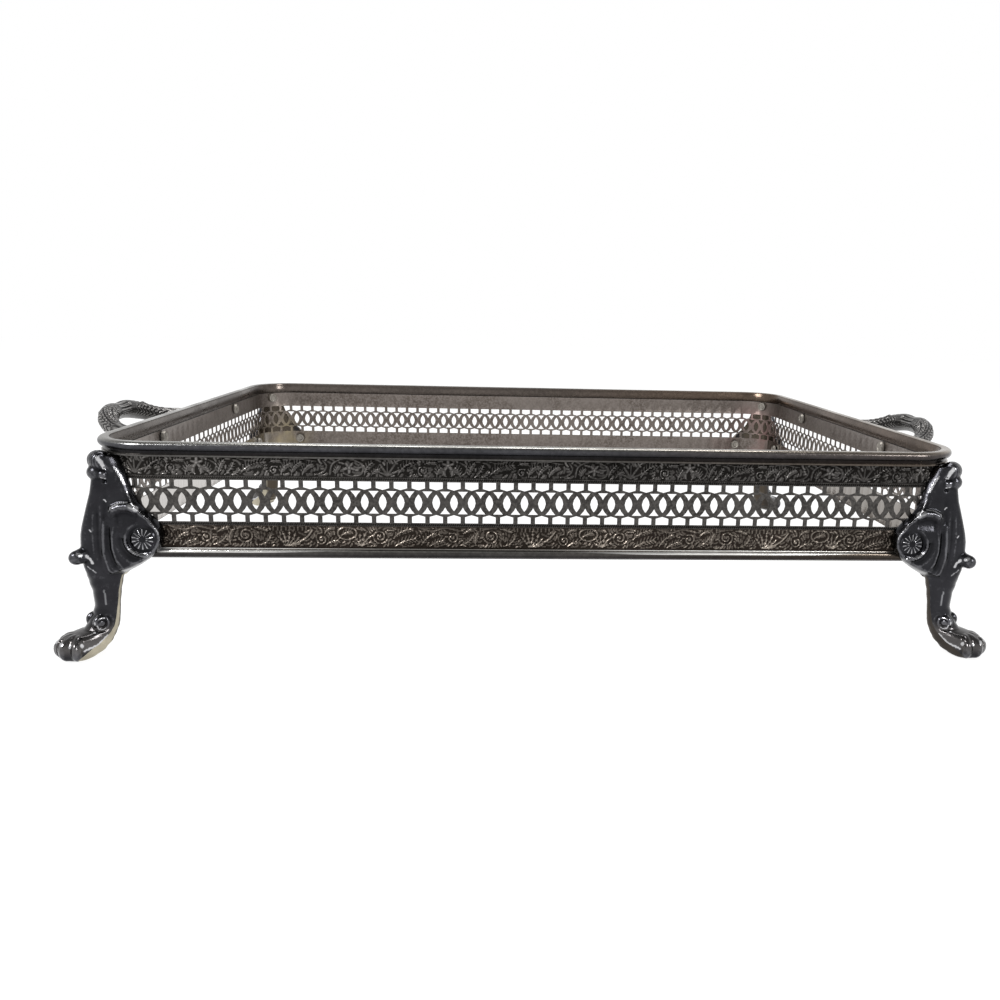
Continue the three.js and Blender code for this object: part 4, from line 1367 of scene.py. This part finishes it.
def polished_metal(name, bands, cloudy, painted_top_sheen=(0.3, 0.29, 0.27), with_painted_highlight=False):
    """Polished plate: bands of (height, colour) upwards, which paint highlight and shade, how cloudy it is,
    and a painted sheen on its level parts.
    """
    material, tree, shader, place = metal(name)
    low, high = bands[0][0], bands[-1][0]
    # The bands by height paint highlight and shade across the section
    share = node(tree, "ShaderNodeMapRange", {0: along_axis(tree, place, "Z"), 1: low * MM, 2: high * MM})
    ramp = node(tree, "ShaderNodeValToRGB", {0: share.outputs[0]})
    while len(ramp.color_ramp.elements) < len(bands):
        ramp.color_ramp.elements.new(0.5)
    for element, (level, colour) in zip(ramp.color_ramp.elements, bands):
        element.position = (level - low) / (high - low)
        element.color = (*colour, 1)
    spots = put(tree, tarnish, Place=place, Cloud_size=26.0, Speck_size=600.0)
    way, facing = facing_out(tree, place)
    # Painted sheen: parts that face upwards are lightened
    colour = blend(tree, spread(tree, along_axis(tree, way, "Z"), 0.86, 0.95), ramp.outputs[0], painted_top_sheen)
    colour = blend(tree, spread(tree, facing, 0.0, -0.03), colour, (0.12, 0.102, 0.09))
    colour = blend(tree, cloudy, colour, spots["Clouds"], "MULTIPLY")
    colour = blend(tree, 0.25, colour, spots["Specks"], "MULTIPLY")
    browner = blend(tree, 1.0, colour, (1, 0.87, 0.76), "MULTIPLY")
    colour = blend(tree, spread(tree, along_axis(tree, place, "X"), -0.02, 0.16), colour, browner)
    # Painted highlight under the moulding's top edge
    if with_painted_highlight:
        colour = blend(tree, streak(tree, place, high), colour, PAINTED_HIGHLIGHT_COLOUR)
    finished(tree, shader, place, colour, spread(tree, spots["Clouds"], 0, 1, 0.32, 0.18), 0.2)
    return material


# The feet: plate in its hollows, on its skin and on its ridges, rubbed on the paw, and painted highlights on
# edges and spots; the yellow metal under it, at the left and at the right; the brown backs
CAST_GROUND, CAST_SKIN, CAST_RIDGE = (0.014, 0.014, 0.016), (0.034, 0.034, 0.038), (0.13, 0.13, 0.14)
CAST_PAW, CAST_PAINTED_HIGHLIGHT = (0.16, 0.15, 0.145), (0.62, 0.62, 0.63)
YELLOW_LEFT, YELLOW_RIGHT, CAST_BACK = (0.5, 0.46, 0.36), (0.06, 0.052, 0.045), (0.075, 0.062, 0.048)


def cast_metal():
    """The feet: dark cast plate, light on its ridges, with painted highlights on edges and spots, yellow and
    dull where the plate is gone.
    """
    material, tree, shader, place = metal("cast_foot")
    raised = node(tree, "ShaderNodeAttribute", attribute_name="raised").outputs["Fac"]
    bare = node(tree, "ShaderNodeAttribute", attribute_name="bare").outputs["Fac"]
    spots = put(tree, tarnish, Place=place, Cloud_size=60.0, Speck_size=700.0)
    worn = put(tree, relief, Raised=raised, Specks=spots["Specks"], Ground=CAST_GROUND, Middle=CAST_SKIN,
               Ridge=CAST_RIDGE)
    gone = spread(tree, maths(tree, "MULTIPLY_ADD", spots["Clouds"], 0.25, bare), 0.55, 0.72)
    height = along_axis(tree, place, "Z")
    paw = maths(tree, "MULTIPLY", spread(tree, height, 0.015, 0.009), spread(tree, height, 0.002, 0.007))
    colour = blend(tree, maths(tree, "MULTIPLY", paw, 0.6), worn["Colour"], CAST_PAW)
    # Painted highlights where the stored value runs over 1
    colour = blend(tree, spread(tree, raised, 1.02, 1.6), colour, CAST_PAINTED_HIGHLIGHT)
    yellow = blend(tree, spread(tree, along_axis(tree, place, "X"), -0.05, 0.05), YELLOW_LEFT, YELLOW_RIGHT)
    colour = blend(tree, gone, colour, yellow)
    colour = blend(tree, 0.3, colour, spots["Clouds"], "MULTIPLY")
    level = vector_maths(tree, "MULTIPLY", place, (1, 1, 0), out="Vector")
    outwards = vector_maths(tree, "NORMALIZE", level, out="Vector")
    way = node(tree, "ShaderNodeNewGeometry").outputs["Normal"]
    facing = vector_maths(tree, "DOT_PRODUCT", way, outwards)
    colour = blend(tree, spread(tree, facing, -0.6, -0.85), colour, CAST_BACK)
    finished(tree, shader, place, colour, spread(tree, gone, 0, 1, 0.2, 0.55), 0.22)
    return material


# --- the pieces and their finishes

sheet_plate = sheet_metal()
# The upper border's plate, also used on the cords, carries painted shade towards the right-hand end
border_plate = chased_metal("chased_border", (0.024, 0.022, 0.02), (0.1, 0.094, 0.089), (0.28, 0.265, 0.255),
                            painted_shade_right=0.42)
lower_plate = chased_metal("chased_border_low", (0.028, 0.022, 0.018), (0.11, 0.094, 0.08), (0.4, 0.35, 0.3))
handle_plate = chased_metal("leafy_handle", (0.02, 0.019, 0.02), (0.08, 0.076, 0.074), (0.3, 0.29, 0.28))
rivet_plate = chased_metal("rivet_head", (0.3, 0.28, 0.25), (0.35, 0.33, 0.3), (0.4, 0.38, 0.34))
LIP = rim_high.z
# The rim's bands paint light and shade: a painted highlight along the top of the roll, painted shade down its
# body, a fainter light line on the skirt
rim_plate = polished_metal("rolled_rim", [
    (rim_low.z, (0.12, 0.115, 0.11)), (rim_low.z + 0.8, (0.09, 0.085, 0.08)),
    (rim_low.z + 1.0, (0.02, 0.018, 0.018)), (LIP - 3.6, (0.02, 0.02, 0.022)),
    (LIP - 3.0, (0.035, 0.035, 0.04)), (LIP - 1.2, (0.1, 0.1, 0.108)), (LIP - 0.3, (0.34, 0.335, 0.315)),
    (LIP, (0.36, 0.355, 0.335))], cloudy=0.25)
BASE, LEDGE = moulding_low.z, moulding_high.z
# The moulding's bands paint light and shade: painted highlight lines near its top and painted shade below
# them
moulding_plate = polished_metal("half_round_base", [
    (BASE, (0.05, 0.045, 0.042)), (BASE + 1.4, (0.035, 0.033, 0.033)), (BASE + 3.0, (0.09, 0.085, 0.08)),
    (LEDGE - 0.9, (0.3, 0.29, 0.27)), (LEDGE - 0.45, (0.05, 0.045, 0.042)), (LEDGE, (0.3, 0.28, 0.25))],
    cloudy=0.3, painted_top_sheen=(0.3, 0.28, 0.25), with_painted_highlight=True)
foot_plate = cast_metal()

add_gallery_wall(sheet_plate)
add_cords(border_plate)
add_border("chased_border_upper", upper_pattern(), *UPPER_BORDER, fine=0.35, material=border_plate)
add_border("chased_border_lower", lower_pattern(), *LOWER_BORDER, fine=0.38, material=lower_plate)
piece("rolled_rim", carried_round(rim_section()), rim_plate, ["top_rim"])
piece("half_round_base", carried_round(moulding_section()), moulding_plate, ["base_moulding"])
add_feet(foot_plate)
add_handles(handle_plate)
add_rivets(rivet_plate)


# Camera: where it stands, which way it looks and how it is framed
CAMERA_PLACE = Vector((-0.0197, -0.4937, 0.1480))
CAMERA_YAW = 0.0752
CAMERA_PITCH = 0.2194
CAMERA_ROLL = 0.0263
CAMERA_LENS, SENSOR_WIDTH = 30.88, 36
CAMERA_SHIFT = -0.0572


def add_camera():
    """The photograph's viewpoint."""
    data = bpy.data.cameras.new("camera")
    data.lens, data.sensor_width, data.shift_x = CAMERA_LENS, SENSOR_WIDTH, CAMERA_SHIFT
    data.clip_start, data.clip_end = 0.01, 100
    level = Vector((math.cos(CAMERA_YAW), -math.sin(CAMERA_YAW), 0))
    forward = Vector((math.sin(CAMERA_YAW) * math.cos(CAMERA_PITCH),
                      math.cos(CAMERA_YAW) * math.cos(CAMERA_PITCH), -math.sin(CAMERA_PITCH)))
    right = Matrix.Rotation(-CAMERA_ROLL, 3, forward) @ level
    up = right.cross(forward)
    camera = bpy.data.objects.new("camera", data)
    aim = Matrix((right, up, -forward)).transposed().to_4x4()
    camera.matrix_world = Matrix.Translation(CAMERA_PLACE) @ aim
    bpy.context.scene.collection.objects.link(camera)
    bpy.context.scene.camera = camera


# The floor's radius in metres, how white it glows to the camera and in mirrors, and the share of that glow
# there; the rest is its own pale colour, which keeps the object's shadow
FLOOR_RADIUS, FLOOR_GLOW, GLOW_SHARE = 3.0, 1.14, 0.8


def add_floor():
    """A pale floor that stays white to the camera, except in the object's shadow."""
    bm = bmesh.new()
    bmesh.ops.create_circle(bm, cap_ends=True, segments=64, radius=FLOOR_RADIUS)
    mesh = bpy.data.meshes.new("floor")
    bm.to_mesh(mesh)
    bm.free()
    material = bpy.data.materials.new("floor")
    material.use_nodes = True
    tree = material.node_tree
    shader = tree.nodes["Principled BSDF"]
    feed(tree, shader, {"Base Color": (0.8, 0.8, 0.8), "Roughness": 0.9, "Specular IOR Level": 0})
    glow = node(tree, "ShaderNodeEmission", {"Color": (1, 1, 1), "Strength": FLOOR_GLOW})
    rays = node(tree, "ShaderNodeLightPath").outputs
    seen = node(tree, "ShaderNodeMath", {0: rays["Is Camera Ray"], 1: rays["Is Glossy Ray"]}, operation="ADD",
                use_clamp=True)
    share = maths(tree, "MULTIPLY", seen.outputs[0], GLOW_SHARE)
    mixed = node(tree, "ShaderNodeMixShader", {0: share, 1: shader.outputs[0], 2: glow.outputs[0]})
    tree.links.new(mixed.outputs[0], tree.nodes["Material Output"].inputs["Surface"])
    mesh.materials.append(material)
    floor = bpy.data.objects.new("floor", mesh)
    bpy.context.scene.collection.objects.link(floor)


# The world's strength as light, and overhead in a mirror; low down in a mirror and to the camera it is 1
SOFT_LEVEL, OVERHEAD_LEVEL = 0.55, 0.3


def add_world():
    """White all round for what is seen or mirrored low down, greyer overhead, and a level for soft light."""
    world = bpy.data.worlds.new("studio")
    bpy.context.scene.world = world
    world.use_nodes = True
    tree = world.node_tree
    rays = node(tree, "ShaderNodeLightPath").outputs
    height = along_axis(tree, node(tree, "ShaderNodeTexCoord").outputs["Generated"], "Z")
    sky = node(tree, "ShaderNodeMapRange", {0: height, 1: 0.35, 2: 0.75, 3: 1.0,
                                            4: OVERHEAD_LEVEL}).outputs[0]
    mirrored = node(tree, "ShaderNodeMath", {0: rays["Is Glossy Ray"], 1: rays["Is Transmission Ray"]},
                    operation="ADD", use_clamp=True).outputs[0]
    level = node(tree, "ShaderNodeMix", {0: mirrored, 2: SOFT_LEVEL, 3: sky}).outputs[0]
    strength = node(tree, "ShaderNodeMix", {0: rays["Is Camera Ray"], 2: level, 3: 1.0}).outputs[0]
    feed(tree, tree.nodes["Background"], {"Strength": strength, "Color": (1, 1, 1)})


# What the lamps look at, and the lamps: name, place, size in metres, power in watts
LIT_MIDDLE = Vector((0, 0, 0.06))
LAMPS = [("left lamp", (-0.75, -0.55, 0.75), (0.35, 0.35), 9),
         ("right lamp", (0.7, -0.7, 0.55), (0.25, 0.25), 4),
         ("top lamp", (0.0, 0.25, 1.1), (0.9, 0.5), 10)]


def add_lamp(name, place, size, power):
    """A softbox that looks at the object's middle."""
    data = bpy.data.lights.new(name, "AREA")
    data.shape, data.size, data.size_y, data.energy = "RECTANGLE", *size, power
    lamp = bpy.data.objects.new(name, data)
    aim = LIT_MIDDLE - Vector(place)
    lamp.matrix_world = Matrix.Translation(place) @ aim.to_track_quat("-Z", "Y").to_matrix().to_4x4()
    bpy.context.scene.collection.objects.link(lamp)


add_camera()
add_floor()
add_world()
for lamp_values in LAMPS:
    add_lamp(*lamp_values)
bpy.context.scene.view_settings.view_transform = "Standard"
